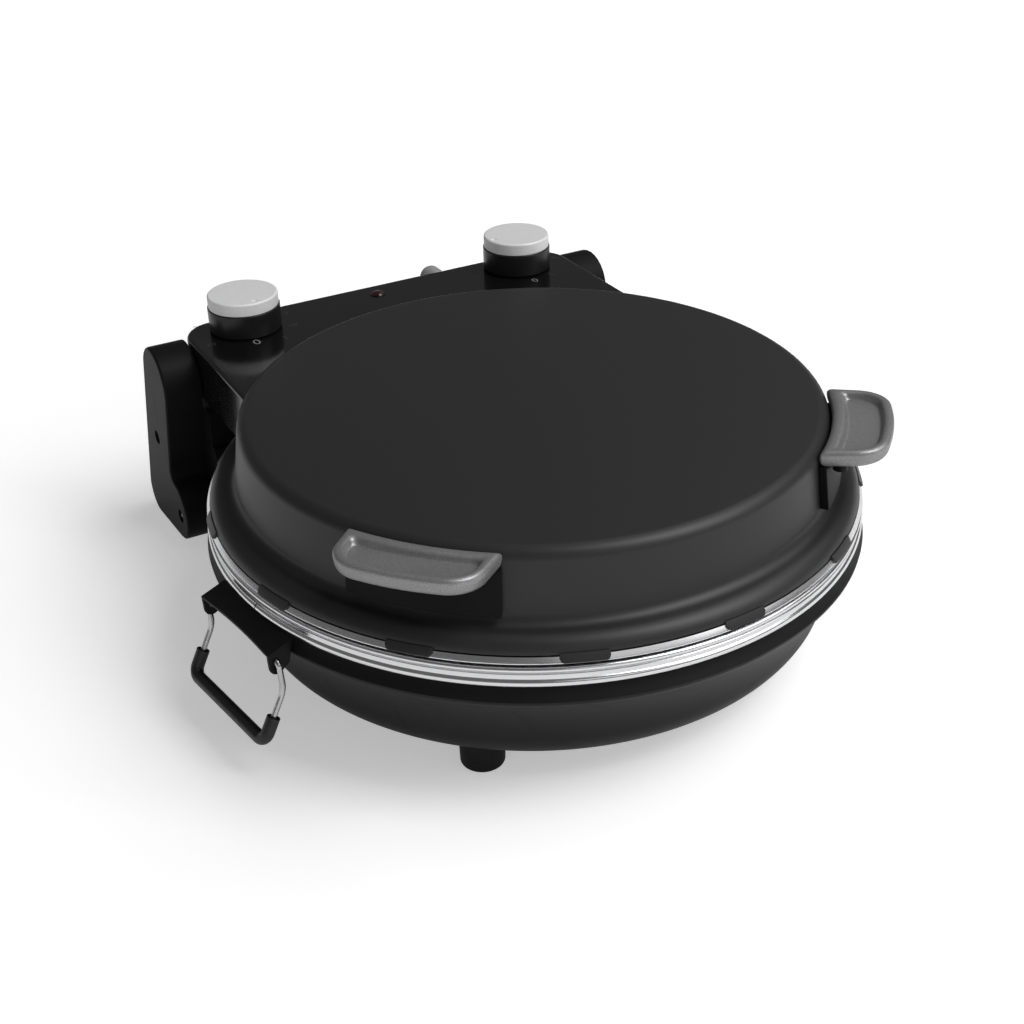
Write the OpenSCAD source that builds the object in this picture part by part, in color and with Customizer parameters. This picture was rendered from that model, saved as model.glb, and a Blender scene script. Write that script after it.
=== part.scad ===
// Electric pizza maker: a round stone oven with a domed lid that opens on two rear arms.
// Frame: +Z up, origin on the table below the centre of the round body, front at -Y.

/* [Rim] */
// Radius of the lower rolled bead, the widest part of the steel rim
rim_r = 176.5; // [172:0.5:180]
// Height of the underside of the steel rim above the table
rim_z = 75.5; // [74:0.5:78]
// Height of the steel rim
rim_h = 11; // [10.5:0.1:11.5]
// Gap between the steel rim and the closed lid
rim_gap = 0.8; // [0.5:0.1:1.2]

/* [Bowl] */
// Height of the bowl's flat floor above the table
floor_z = 16; // [14:0.5:18]
// Radius of the rounded corner between the bowl's floor and its side
bowl_corner_r = 22; // [18:1:24]
// Radius of the flare that widens the bowl towards the rim
bowl_flare_r = 68.5; // [60:0.5:76]
// Wall thickness of the painted bowl
bowl_t = 1.2; // [0.8:0.1:1.6]
// Radius of a foot
foot_r = 11.8; // [9:0.2:13]
// Distance of a foot's axis from the centre
foot_pitch = 135.6; // [128:0.2:138]
// Direction of the front left foot, in degrees from the front
foot_angle = 40.9; // [35:0.1:48]

/* [Lid] */
// Height of the shoulder of the lid's disc above the table
lid_z = 136; // [134:0.5:138]
// Rise of the lid's disc from its shoulder to its centre
lid_crown = 0.9; // [0.3:0.1:2]
// Draft of the lid's wall, in degrees
lid_draft = 7; // [5:0.5:9]
// Sheet thickness of the lid's shell
lid_t = 1.2; // [0.8:0.1:1.6]
// Number of tabs that hold the steel flange
tab_count = 13; // [9:2:13]
// Angle from one tab to the next
tab_pitch = 26.5; // [20:0.5:26.5]
// Width of a tab
tab_w = 23; // [16:1:26]

/* [Stone and heaters] */
// Radius of the baking stone
stone_r = 155.5; // [150:0.5:156]
// Thickness of the baking stone
stone_t = 14; // [10:0.5:14]
// Radius of the heating tubes
tube_r = 3.3; // [2.5:0.1:4]
// Radius of the loop of each heating tube
loop_r = 108; // [90:1:118]

/* [Hinge] */
// Distance of the hinge axis behind the centre
hinge_y = 187; // [186:0.5:190]
// Height of the hinge axis above the table
hinge_z = 106; // [104:0.5:108]
// Radius of a hinge pin
pin_r = 5; // [4:0.1:6]
// Running clearance round a hinge pin
pin_clear = 0.05; // [0.03:0.01:0.09]
// Distance of an arm's inner face from the middle
arm_x = 129.1; // [128.9:0.1:130]
// Width of an arm
arm_w = 22.4; // [20:0.2:28]
// Wall thickness of the moulded arms and housings
wall_t = 2.6; // [2:0.1:3]

/* [Controls] */
// Half width of the control housing
house_x = 128.5; // [127.5:0.1:128.5]
// Distance of the control housing's rear face behind the centre
house_y = 203; // [201:0.5:204]
// Height of the control panel above the table
panel_z = 129; // [127:0.5:130]
// Height of the housing's lower edge above the table
house_low = 96; // [95:0.5:97]
// Distance of a knob's axis from the middle
knob_x = 92.6; // [88:0.2:96]
// Distance of the knobs' axes behind the centre
knob_y = 182.9; // [176:0.1:184]
// Radius of a knob's cap
cap_r = 20.8; // [18:0.1:22]
// Height of a knob's cap
cap_h = 7.5; // [6:0.5:9]
// Height of a knob's skirt
skirt_h = 13.9; // [12:0.1:16]

/* [Lid handles] */
// Direction of each lid handle, in degrees from the front
grip_angle = 48.2; // [44:0.1:54]
// Half width of a grip
grip_w = 37.4; // [34:0.2:39]
// Distance of a grip's outer edge from the centre
grip_r = 187; // [182:0.5:190]
// Thickness of a grip
grip_h = 8.5; // [7:0.5:9]
// Depth of the hollow in the top of a grip
dish_h = 3.6; // [2:0.1:3.8]
// Rise of a grip's outer edge above its edge at the lid
grip_rise = 2.2; // [0:0.1:3]

/* [Carrying bails] */
// Direction of the left bail, in degrees from the front
bail_angle = 81.4; // [78:0.1:86]
// Distance of the bail's pivot axis from the centre
bail_u = 182.6; // [182:0.1:184]
// Height of the bail's pivot axis above the table
bail_z = 66; // [65:0.5:67]
// Half width of a bail
bail_w = 36; // [32:0.5:38]
// Radius of the bail's wire
wire_r = 1.5; // [1.2:0.1:1.8]
// Radius of the sleeve over the wire
sleeve_r = 3.4; // [2.8:0.1:4]

/* [Hidden] */
$fn = 96;

satin = [0.10, 0.10, 0.10];
gloss = [0.06, 0.06, 0.06];
rubber = [0.14, 0.14, 0.14];
steel = [0.78, 0.78, 0.79];
grey = [0.45, 0.45, 0.46];
pale = [0.80, 0.80, 0.80];
stone = [0.80, 0.74, 0.62];
ceramic = [0.90, 0.89, 0.85];

// Basic plane geometry: points are [across, up]
function unit(v) = v / norm(v);
function ray(a) = [cos(a), sin(a)];
function heading(v) = atan2(v[1], v[0]);
function arc(c, r, a0, a1, n = 6) = [for (i = [0:n]) c + r * ray(a0 + (a1 - a0) * i / n)];
function left_of(a, b) = let (d = unit(b - a)) [-d[1], d[0]];
function mirrored(p) = [for (i = [len(p) - 1:-1:0]) [p[i][0], -p[i][1]]];

// Sideways shift at point i of a path, long enough for the wall to keep its thickness at a bend
function mitre(p, i) =
    let (last = len(p) - 1, k = max(i, 1), m = min(i, last - 1))
    let (s = left_of(p[k - 1], p[k]) + left_of(p[m], p[m + 1]))
    s * 2 / (s * s);
function shifted(p, t) = [for (i = [0:len(p) - 1]) p[i] + t * mitre(p, i)];
function sheet(p, t) =
    let (q = shifted(p, t))
    concat(p, [for (i = [len(p) - 1:-1:0]) [max(q[i][0], 0), q[i][1]]]);

// Direction of the outward normal where a straight line touches two circles, seen from the first
function tangent(c1, r1, c2, r2, side) =
    heading(c2 - c1) + side * acos((r1 - r2) / norm(c2 - c1));
// Distance along a ray from p in direction d to its first meeting with a circle
function reach(p, d, c, r) = let (b = (p - c) * d) -b - sqrt(b * b - (p - c) * (p - c) + r * r);

// Derived heights and radii
rim_top = rim_z + rim_h;
liner_low = rim_top + rim_gap;
ledge_z = rim_z - 8.7;
stone_z = ledge_z + 0.8;
loop_low = rim_z - 25.5;
loop_high = lid_z - 22;
knob_low = panel_z + 0.8;
cap_low = knob_low + skirt_h;
grip_top = lid_z;
grip_low = grip_top - grip_h;
edge_r = 6.8;
wall_top = [rim_r - 27.5, lid_z - edge_r];
fillet_r = 6;
brim_r = 8.9;
lead_angle = 9;
lead_bend = 9;

// Outer surface of the lid, from its centre over the shoulder and down to its flared edge
wall_down = [sin(lid_draft), -cos(lid_draft)];
wall_start = wall_top + edge_r * ray(lid_draft);
wall_run = (wall_start[1] - (liner_low + 17.4)) / cos(lid_draft);
fillet_c = wall_start + wall_run * wall_down + fillet_r * ray(lid_draft);
brim_c = fillet_c - [0, fillet_r + brim_r];
lid_path = concat(
    [for (i = [0:5]) [wall_top[0] * i / 6, lid_z + lid_crown * (1 - pow(i / 6, 2))]],
    arc(wall_top, edge_r, 90, lid_draft, 8),
    arc(fillet_c, fillet_r, 180 + lid_draft, 262, 6),
    arc(brim_c, brim_r, 82, 10, 7));

// Outer surface of the bowl, from the centre of its raised floor out and up to the rim
corner_c = [rim_r - 37.5, floor_z + bowl_corner_r];
flare_a = 169;
flare_c = corner_c - (bowl_corner_r + bowl_flare_r) * ray(flare_a);
bowl_path = concat(
    [[0, floor_z + 3], [108, floor_z + 3], [114, floor_z]],
    arc(corner_c, bowl_corner_r, 270, 180 + flare_a, 8),
    arc(flare_c, bowl_flare_r, flare_a - 3, 137.5, 8),
    [[rim_r + 1.1, rim_z - 7.2], [rim_r + 0.7, rim_z - 6.2], [rim_r - 3.9, rim_z - 0.4],
     [rim_r - 4.7, rim_z + 3.4]]);

// Solid inside the lid's or the bowl's outer surface, grown by a gap, to cut what sits against it
module lid_solid(gap) {
    rotate_extrude($fn = 180) polygon(concat([[0, rim_z]], shifted(lid_path, gap), [[rim_r - 2.9, rim_z]]));
}

module bowl_solid(gap) {
    p = shifted(bowl_path, -gap);
    rotate_extrude($fn = 180) polygon(concat([for (q = p) [max(q[0], 0), q[1]]], [[0, rim_z + 3.4]]));
}

// Straight round rod from one point to another
module rod(a, b, r) {
    d = b - a;
    translate(a) rotate([0, acos(d[2] / norm(d)), atan2(d[1], d[0])]) cylinder(r = r, h = norm(d));
}

// Points of a round bend at p, on the way from a to b
function bend_at(a, p, b, bend, n) =
    let (d0 = unit(p - a), d1 = unit(b - p), turn = acos(d0 * d1), side = unit(d1 - (d0 * d1) * d0))
    let (c = p - bend * tan(turn / 2) * d0 + bend * side)
    [for (i = [0:n]) c + bend * (sin(turn * i / n) * d0 - cos(turn * i / n) * side)];
function rounded(p, bend, n) = concat([p[0]],
    [for (i = [1:len(p) - 2]) each bend_at(p[i - 1], p[i], p[i + 1], bend, n)], [p[len(p) - 1]]);

// Closed body through rings of points, all with the same number of points
module loft(rings) {
    n = len(rings[0]);
    last = len(rings) - 1;
    polyhedron(
        points = [for (ring = rings) each ring],
        faces = concat(
            [[for (i = [0:n - 1]) i]],
            [for (k = [0:last - 1], i = [0:n - 1])
                [k * n + i, (k + 1) * n + i, (k + 1) * n + (i + 1) % n, k * n + (i + 1) % n]],
            [[for (i = [n - 1:-1:0]) last * n + i]]));
}

// Tube swept along points, where no stretch runs along the direction up
module tube(p, r, up, sides = 12) {
    last = len(p) - 1;
    loft([for (i = [0:last])
        let (t = unit(p[min(i + 1, last)] - p[max(i - 1, 0)]), across = unit(cross(t, up)))
        [for (k = [0:sides - 1]) let (a = -360 * k / sides)
            p[i] + r * (cos(a) * across + sin(a) * cross(across, t))]]);
}

// Turns a shape from straight ahead of the front to an angle towards the left
module facing(a) {
    rotate([0, 0, -90 - a]) children();
}

// Lays a [behind, up] outline in the side plane and gives it a width along X
module side_plate(x0, x1, p) {
    translate([x0, 0, 0]) rotate([90, 0, 90]) linear_extrude(x1 - x0) polygon(p);
}

// Domed screw head at the origin with its shank along -Z
module screw(head_r, head_h, shank_r, shank_l) {
    rotate_extrude($fn = 40) polygon(concat(
        [[0, -shank_l], [shank_r, -shank_l], [shank_r, 0], [head_r, 0]],
        [for (i = [1:4]) [head_r * cos(i * 20), head_h * (0.45 + 0.55 * sin(i * 20))]],
        [[0, head_h]]));
}

// Feet stand on a square that is nearly as wide as it is deep
foot_places = [for (a = [foot_angle, 180 - foot_angle, 180 + foot_angle, -foot_angle])
    [-foot_pitch * sin(a), -foot_pitch * cos(a)]];

module base_bowl() {
    color(satin) difference() {
        rotate_extrude($fn = 180) polygon(sheet(bowl_path, bowl_t));
        for (p = foot_places) translate([p[0], p[1], 0]) cylinder(r = 2.3, h = 40, $fn = 24);
        translate([0, rim_r - 30, loop_low]) rotate([-90, 0, 0]) cylinder(r = 9, h = 40, $fn = 32);
    }
}

// Pressed steel rim: wired edge on top, a flat band, and the fat rolled bead below
module base_ring() {
    bead_r = 2.55;
    wire_edge = 1.45;
    color(steel) rotate_extrude($fn = 180) polygon(concat(
        [[rim_r - 3.7, rim_z + 2]],
        arc([rim_r - bead_r, rim_z + bead_r], bead_r, 236, 418, 12),
        [[rim_r - 1.2, rim_z + 5.1], [rim_r - 1.2, rim_z + 7.3],
         [rim_r - 2.3, rim_z + 7.3], [rim_r - 2.3, rim_z + 8.2]],
        arc([rim_r - 2, rim_top - wire_edge], wire_edge, -60, 90, 8),
        [[rim_r - 7, rim_top], [rim_r - 7, rim_top - 0.9], [rim_r - 3.7, rim_top - 0.9]]));
}

// Bright inner pan with the ledge that carries the stone
module base_reflector() {
    low = ledge_z - 32;
    path = concat(
        [[0, low]],
        arc([rim_r - 50, low + 20], 20, 270, 345, 6),
        [[rim_r - 28.5, ledge_z], [rim_r - 19, ledge_z], [rim_r - 18.3, rim_z + 4.5],
         [rim_r - 13.5, rim_z + 7.3], [rim_r - 6.2, rim_z + 9.2]]);
    color(steel) difference() {
        rotate_extrude($fn = 180) polygon(sheet(path, 0.8));
        lead_holes(loop_low);
    }
}

module pizza_stone() {
    bevel = 1.5;
    color(stone) translate([0, 0, stone_z]) rotate_extrude($fn = 180) polygon(
        [[0, 0], [stone_r - bevel, 0], [stone_r, bevel], [stone_r, stone_t - bevel],
         [stone_r - bevel, stone_t], [0, stone_t]]);
}

// The two ends of a heating loop: each turns outwards at the rear and runs out to a terminal.
// Side 1 is the left end and side -1 the right one.
function lead_out(s) = [cos(90 + s * lead_angle), sin(90 + s * lead_angle), 0];
function loop_end(s, z) = loop_r * lead_out(s) + [0, 0, z];
function lead_corner(s, z) = loop_end(s, z) + lead_bend * s * [lead_out(s)[1], -lead_out(s)[0], 0];
function loop_path(z, run) =
    let (tips = [for (s = [1, -1]) lead_corner(s, z) + run * lead_out(s)], a0 = 90 + lead_angle)
    concat(
        [tips[0]],
        bend_at(tips[0], lead_corner(1, z), loop_end(1, z), lead_bend, 5),
        [for (i = [1:47]) let (a = a0 + (360 - 2 * lead_angle) * i / 48)
            [loop_r * cos(a), loop_r * sin(a), z]],
        bend_at(loop_end(-1, z), lead_corner(-1, z), tips[1], lead_bend, 5),
        [tips[1]]);

module heating_loop(z, run) {
    tube(loop_path(z, run), tube_r, [0, 0, 1]);
    for (s = [-1, 1]) rod(lead_corner(s, z) + (run - 3) * lead_out(s),
        lead_corner(s, z) + (run + 6) * lead_out(s), 1.6, $fn = 24);
}

// Round holes for the two leads
module lead_holes(z) {
    for (s = [-1, 1]) rod(lead_corner(s, z) + 20 * lead_out(s),
        lead_corner(s, z) + 60 * lead_out(s), tube_r + 0.6, $fn = 32);
}

// Bent strips that hold a heating loop to the sheet below or above it
module loop_clips(z, drop) {
    s = sign(drop);
    for (a = [-90, 30, 150]) rotate([0, 0, a]) translate([loop_r, 4, z]) rotate([90, 0, 0])
        linear_extrude(8) difference() {
            union() {
                circle(r = tube_r + 1.2, $fn = 40);
                translate([tube_r + 0.2, s < 0 ? drop : 0]) square([1, abs(drop)]);
                translate([tube_r + 0.2, s < 0 ? drop : drop - 1]) square([9, 1]);
            }
            circle(r = tube_r + 0.25, $fn = 40);
        }
}

module lower_element() {
    color(grey) heating_loop(loop_low, 44);
}

module lower_element_clips() {
    color(steel) loop_clips(loop_low, ledge_z - 31.15 - loop_low);
}

module feet() {
    edge = 1.6;
    color(rubber) for (p = foot_places) translate([p[0], p[1], 0]) difference() {
        rotate_extrude($fn = 64) polygon(concat(
            [[4.4, 0]],
            arc([foot_r - 0.5 - edge, edge], edge, 270, 357, 5),
            [[foot_r + 0.2, 40], [2.3, 40], [2.3, 7], [4.4, 7]]));
        translate([-p[0], -p[1], 0]) bowl_solid(0);
    }
}

module foot_screws() {
    color(steel) for (p = foot_places) translate([p[0], p[1], 6.9])
        mirror([0, 0, 1]) screw(3.9, 2.2, 2, floor_z - 2);
}

// Side outline of an arm: a round head on the hinge axis, a leaning shank and a boot below.
// All radii shrink with the inset, so that the outline can be stepped in for edges and walls.
arm_head_r = 20.5;
lean = 15.5;
knee_r = 6;
toe_c = [hinge_y - 9, 22.5];
toe_r = 19;
heel_r = 14.5;
heel_c = [hinge_y + 34.5, heel_r];
function arm_outline(inset) =
    let (c = [hinge_y, hinge_z], front = 180 + lean, down = [sin(lean), -cos(lean)])
    let (r0 = arm_head_r - inset, r1 = toe_r - inset, r2 = heel_r - inset, r3 = knee_r + inset)
    let (start = c + (r0 + r3) * ray(front))
    let (knee = start + reach(start, down, toe_c, r1 + r3) * down)
    let (sole = tangent(toe_c, r1, heel_c, r2, -1), back = tangent(heel_c, r2, c, r0, -1))
    concat(
        arc(heel_c, r2, sole, back, 8),
        arc(c, r0, back, front, 14),
        arc(knee, r3, lean, heading(toe_c - knee), 5),
        arc(toe_c, r1, heading(knee - toe_c), sole + 360, 10));

// The arm's screws are [behind, up], measured on its outer face
screw_places = [[hinge_y + 13, hinge_z - 43], [hinge_y - 15, 21]];
screw_deep = 4.5;

// Moulded casing with a rounded outer edge, open towards the middle, with two screw bosses
module arm_case() {
    outer = arm_x + arm_w;
    edge = 1.6;
    round_edge = [for (a = [0:22.5:90]) [outer - edge + edge * sin(a), edge * (1 - cos(a))]];
    rings = [for (s = concat([[arm_x, 0]], round_edge, [[outer, wall_t]]))
        [for (q = arm_outline(s[1])) [s[0], q[0], q[1]]]];
    difference() {
        union() {
            difference() {
                loft(rings);
                side_plate(arm_x - 1, outer + 1, arm_outline(wall_t));
            }
            side_plate(outer - wall_t, outer, arm_outline(wall_t));
            for (p = screw_places) translate([arm_x + wall_t + 0.1, p[0], p[1]]) rotate([0, 90, 0])
                cylinder(r = 6.6, h = arm_w - 2 * wall_t, $fn = 40);
        }
        for (p = screw_places) translate([arm_x - 1, p[0], p[1]]) rotate([0, 90, 0]) {
            cylinder(r = 2.1, h = arm_w + 2, $fn = 24);
            translate([0, 0, arm_w + 1 - screw_deep]) cylinder(r = 4.3, h = 10, $fn = 40);
        }
    }
}

module arm_plate() {
    difference() {
        side_plate(arm_x, arm_x + wall_t, arm_outline(wall_t + 0.1));
        translate([arm_x - 1, hinge_y, hinge_z]) rotate([0, 90, 0])
            cylinder(r = pin_r + 0.03, h = 10, $fn = 48);
        for (p = screw_places) translate([arm_x - 1, p[0], p[1]]) rotate([0, 90, 0])
            cylinder(r = 2.1, h = 10, $fn = 24);
    }
}

// Hollow pin that carries the lid's wiring, with a head inside the arm
module hinge_pin() {
    inner = house_x - 14;
    translate([0, hinge_y, hinge_z]) rotate([0, 90, 0]) rotate_extrude($fn = 48) polygon(
        [[2.8, inner], [pin_r - 0.5, inner], [pin_r, inner + 0.5], [pin_r, arm_x + wall_t + 0.05],
         [9, arm_x + wall_t + 0.05], [9, arm_x + wall_t + 3], [2.8, arm_x + wall_t + 3]]);
}

module arm_left() {
    color(satin) mirror([1, 0, 0]) arm_case();
}

module arm_right() {
    color(satin) arm_case();
}

module arm_cover_left() {
    color(satin) mirror([1, 0, 0]) arm_plate();
}

module arm_cover_right() {
    color(satin) arm_plate();
}

module arm_screws() {
    color(steel) for (s = [-1, 1], p = screw_places)
        translate([s * (arm_x + arm_w - screw_deep), p[0], p[1]]) rotate([0, s * 90, 0])
            screw(3.7, 2.2, 2, 30);
}

module hinge_pin_left() {
    color(steel) mirror([1, 0, 0]) hinge_pin();
}

module hinge_pin_right() {
    color(steel) hinge_pin();
}

// Beam behind the bowl that joins the two arms and holds the mains terminals
beam_front = hinge_y - 31;
beam_back = hinge_y + 21;
beam_top = rim_z - 7.5;
beam_low = 14;
function beam_outline(inset) =
    let (f = beam_front + inset, b = beam_back - inset, t = beam_top - inset, l = beam_low + inset)
    concat(
        arc([f + 3, l + 3], 3, 180, 270, 4),
        arc([b - 12, l + 12], 12, 270, 360, 6),
        arc([b - 8, t - 8], 8, 0, 90, 5),
        arc([f + 3, t - 3], 3, 90, 180, 4));
cover_half = 112;
cover_places = [for (x = [-1, 1], y = [beam_front + 15, beam_back - 16]) [x * (cover_half - 6), y]];

module rear_housing() {
    half = arm_x - 0.05;
    color(satin) difference() {
        union() {
            difference() {
                side_plate(-half, half, beam_outline(0));
                side_plate(-half + wall_t, half - wall_t, beam_outline(wall_t));
            }
            for (s = [-1, 1], p = screw_places) translate([s * (half - 12), p[0], p[1]])
                rotate([0, s * 90, 0]) cylinder(r = 4.8, h = 11, $fn = 32);
            for (p = cover_places) translate([p[0], p[1], beam_low + 1]) cylinder(r = 4, h = 12, $fn = 32);
        }
        bowl_solid(0.2);
        for (s = [-1, 1], p = screw_places) translate([s * (half - 14), p[0], p[1]])
            rotate([0, s * 90, 0]) cylinder(r = 2.05, h = 20, $fn = 24);
        for (p = cover_places) translate([p[0], p[1], beam_low - 1]) cylinder(r = 1.6, h = 13, $fn = 24);
        translate([-cover_half + 14, beam_front + 12, beam_low - 1]) cube([2 * cover_half - 28, 10, 10]);
    }
}

module rear_cover() {
    color(satin) difference() {
        translate([-cover_half, beam_front + 9, beam_low - 2.05])
            cube([2 * cover_half, beam_back - beam_front - 19, 2]);
        for (p = cover_places) translate([p[0], p[1], 0]) cylinder(r = 1.8, h = 30, $fn = 24);
    }
}

module rear_cover_screws() {
    color(steel) for (p = cover_places) translate([p[0], p[1], beam_low - 2.1])
        mirror([0, 0, 1]) screw(3.2, 1.8, 1.55, 10);
}

// Ceramic terminal block on the floor of the beam
module terminal_block() {
    color(ceramic) translate([0, beam_back - 31, beam_low + wall_t + 0.05]) difference() {
        translate([-60, 0, 0]) cube([38, 16, 14]);
        for (i = [0:2]) translate([-53 + 12 * i, 8, 4]) cylinder(r = 3.6, h = 12, $fn = 32);
        for (i = [0:2]) translate([-53 + 12 * i, -1, 7]) rotate([-90, 0, 0])
            cylinder(r = 2, h = 20, $fn = 24);
    }
}

// Bent sheet under the rim with two ears for the bail, in its own frame: X out, Y along the rim
module bail_bracket() {
    ear = 1.5;
    ear_in = bail_w - 4;
    top = [[rim_r - 4, rim_z - 0.9], [bail_u + 4, rim_z - 5.2]];
    difference() {
        union() {
            rotate([90, 0, 0]) translate([0, 0, -ear_in]) linear_extrude(2 * ear_in)
                polygon(sheet(top, -1.4));
            for (s = [-1, 1]) translate([0, s > 0 ? ear_in : -ear_in - ear, 0]) ear_sheet(ear);
        }
        translate([bail_u + 402.6, 0, rim_z - 20]) cylinder(r = 400, h = 30, $fn = 360);
        translate([bail_u, bail_w, bail_z]) rotate([90, 0, 0])
            cylinder(r = wire_r + pin_clear, h = 2 * bail_w, $fn = 32);
        bowl_solid(0.05);
    }
}

// Ear: the plate's end turned down, rounded below the pivot
module ear_sheet(t) {
    r = 4.2;
    translate([0, t, 0]) rotate([90, 0, 0]) linear_extrude(t) polygon(concat(
        [[rim_r - 4, rim_z - 0.9], [rim_r - 1, bail_z - 4]],
        arc([bail_u - 0.6, bail_z - 3.6], r, 215, 350, 6),
        [[bail_u + 4, rim_z - 5.2]]));
}

// Points of one side of the bail: through the ear, down past the bowl, then out to the grip bar
function bail_side(s) = [
    [bail_u, s * (bail_w - 4), bail_z], [bail_u, s * bail_w, bail_z],
    [bail_u - 1, s * bail_w, bail_z - 16], [bail_u + 12.4, s * bail_w, bail_z - 41]];
bail_points = concat(bail_side(-1), [for (i = [3:-1:0]) bail_side(1)[i]]);
sleeve_start = 0.52;
wire_bend = 2.4;
function sleeve_end(s) = bail_side(s)[2] * (1 - sleeve_start) + bail_side(s)[3] * sleeve_start;
sleeve_points = [sleeve_end(-1), bail_side(-1)[3], bail_side(1)[3], sleeve_end(1)];

module bail_wire() {
    color(steel) {
        tube(rounded(bail_points, wire_bend, 4), wire_r * 0.985, [1, 0, 0]);
        for (s = [-1, 1]) rod([bail_u, s * (bail_w - 6.5), bail_z], [bail_u, s * (bail_w - 2.6), bail_z],
            wire_r, $fn = 32);
    }
}

module bail_sleeve() {
    color(rubber) difference() {
        tube(rounded(sleeve_points, 5.2, 5), sleeve_r, [1, 0, 0], 16);
        tube(rounded(bail_points, wire_bend, 4), wire_r + 0.03, [1, 0, 0]);
    }
}

module bail_bracket_left() {
    color(satin) facing(bail_angle) bail_bracket();
}

module bail_bracket_right() {
    color(satin) facing(bail_angle + 180) bail_bracket();
}

module bail_wire_left() {
    facing(bail_angle) bail_wire();
}

module bail_wire_right() {
    facing(bail_angle + 180) bail_wire();
}

module bail_sleeve_left() {
    facing(bail_angle) bail_sleeve();
}

module bail_sleeve_right() {
    facing(bail_angle + 180) bail_sleeve();
}

// Slope of the steel flange under the lid's edge, as a start and a direction
flange_top = [rim_r - 2.6, liner_low + 4.1];
flange_down = unit([2.1, -3.1]);
flange_out = [-flange_down[1], flange_down[0]];

// Tabs of the lid's shell that lie on the steel flange, with rounded lower corners
module flange_tabs() {
    t0 = -1.4;
    t1 = 3.2;
    corner = 2;
    drop = flange_top[1] + t1 * flange_down[1];
    intersection() {
        rotate_extrude($fn = 180) polygon([for (q = [[t0, 0.05], [t1, 0.05], [t1, 0.95], [t0, 0.95]])
            flange_top + q[0] * flange_down + q[1] * flange_out]);
        for (i = [0:tab_count - 1]) facing((i - (tab_count - 1) / 2) * tab_pitch - 4.5)
            translate([rim_r - 12, 0, 0]) rotate([90, 0, 90]) linear_extrude(20) polygon(concat(
                arc([-tab_w / 2 + corner, drop + corner], corner, 180, 270, 4),
                arc([tab_w / 2 - corner, drop + corner], corner, 270, 360, 4),
                [[tab_w / 2, drop + 8], [-tab_w / 2, drop + 8]]));
    }
}

module lid_shell() {
    color(gloss) union() {
        difference() {
            rotate_extrude($fn = 180) polygon(sheet(lid_path, -lid_t));
            lead_holes(loop_high);
        }
        flange_tabs();
    }
}

// Bright liner pressed from one sheet: the domed reflector, the flat lip that meets the rim, and
// the hem that folds back up as the sloping flange under the lid's edge
module lid_liner() {
    roof = lid_z - 11;
    inner = -0.8 * flange_out;
    path = concat(
        [[0, roof + 1], [70, roof + 0.8]],
        arc([rim_r - 42, roof - 13.2], 14, 90, 5, 6),
        arc([rim_r - 20.5, liner_low + 5.5], 4.7, 184, 270, 5),
        [[rim_r - 2.2, liner_low + 0.8], flange_top + 2.9 * flange_down + inner,
         flange_top + inner, flange_top + [-3.2, -0.7]]);
    color(steel) difference() {
        rotate_extrude($fn = 180) polygon(sheet(path, -0.8));
        lead_holes(loop_high);
    }
}

module upper_element() {
    color(grey) heating_loop(loop_high, 52);
}

module upper_element_clips() {
    color(steel) loop_clips(loop_high, lid_z - 11 - 0.1 - loop_high);
}

// Plan of the control housing: two rear corners rounded, sides running forward into the lid
function house_plan(inset) =
    let (x = house_x - inset, y = house_y - inset, r = 20 - inset)
    concat(
        [[-x, 60], [x, 60]],
        arc([x - r, y - r], r, 0, 90, 10),
        arc([-x + r, y - r], r, 90, 180, 10));
module house_slab(z0, z1, inset) {
    translate([0, 0, z0]) linear_extrude(z1 - z0) polygon(house_plan(inset));
}
house_posts = [[-60, house_y - 12], [60, house_y - 12], [-110, 140], [110, 140]];
lamp_x = -4;
lamp_y = knob_y + 5;
gland_x = 47;
bush_r = pin_r + 1.7;
gland_z = hinge_z + 14;

module housing_top() {
    edge = 2.4;
    rings = [for (s = concat([[house_low, 0]],
            [for (a = [0:22.5:90]) [panel_z - edge + edge * sin(a), edge * (1 - cos(a))]]))
        [for (q = house_plan(s[1])) [q[0], q[1], s[0]]]];
    color(gloss) difference() {
        union() {
            difference() {
                loft(rings);
                house_slab(house_low - 1, panel_z - wall_t, wall_t);
            }
            for (p = house_posts) translate([p[0], p[1], house_low + 2.7])
                cylinder(r = 4, h = panel_z - house_low - 4, $fn = 32);
        }
        lid_solid(0.15);
        for (p = house_posts) translate([p[0], p[1], house_low]) cylinder(r = 1.6, h = 16, $fn = 24);
        for (s = [-1, 1]) translate([s * knob_x, knob_y, panel_z - 10]) cylinder(r = 5, h = 20, $fn = 40);
        translate([lamp_x, lamp_y, panel_z - 10]) cylinder(r = 4, h = 20, $fn = 40);
        translate([gland_x, house_y - 10, gland_z]) rotate([-90, 0, 0]) cylinder(r = 6, h = 20, $fn = 40);
        for (s = [-1, 1]) translate([s * (house_x - 12), hinge_y, hinge_z]) rotate([0, s * 90, 0])
            cylinder(r = bush_r + 0.03, h = 14, $fn = 48);
    }
}

module housing_base() {
    color(satin) difference() {
        house_slab(house_low, house_low + 2.5, wall_t + 0.15);
        lid_solid(0.15);
        for (p = house_posts) translate([p[0], p[1], house_low - 1]) cylinder(r = 1.8, h = 10, $fn = 24);
    }
}

module housing_screws() {
    color(steel) for (p = house_posts) translate([p[0], p[1], house_low - 0.05])
        mirror([0, 0, 1]) screw(3.2, 1.8, 1.55, 12);
}

// Bush in the rounded rear corner of the housing, which turns on the arm's pin, with a collar inside
module hinge_bush() {
    outer = house_x;
    inner = house_x - 15;
    translate([0, hinge_y, hinge_z]) rotate([0, 90, 0]) rotate_extrude($fn = 48) polygon(
        [[pin_r + pin_clear, inner], [pin_r + 2.4, inner], [pin_r + 2.4, inner + 2],
         [bush_r, inner + 2], [bush_r, outer], [pin_r + pin_clear, outer]]);
}

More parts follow.
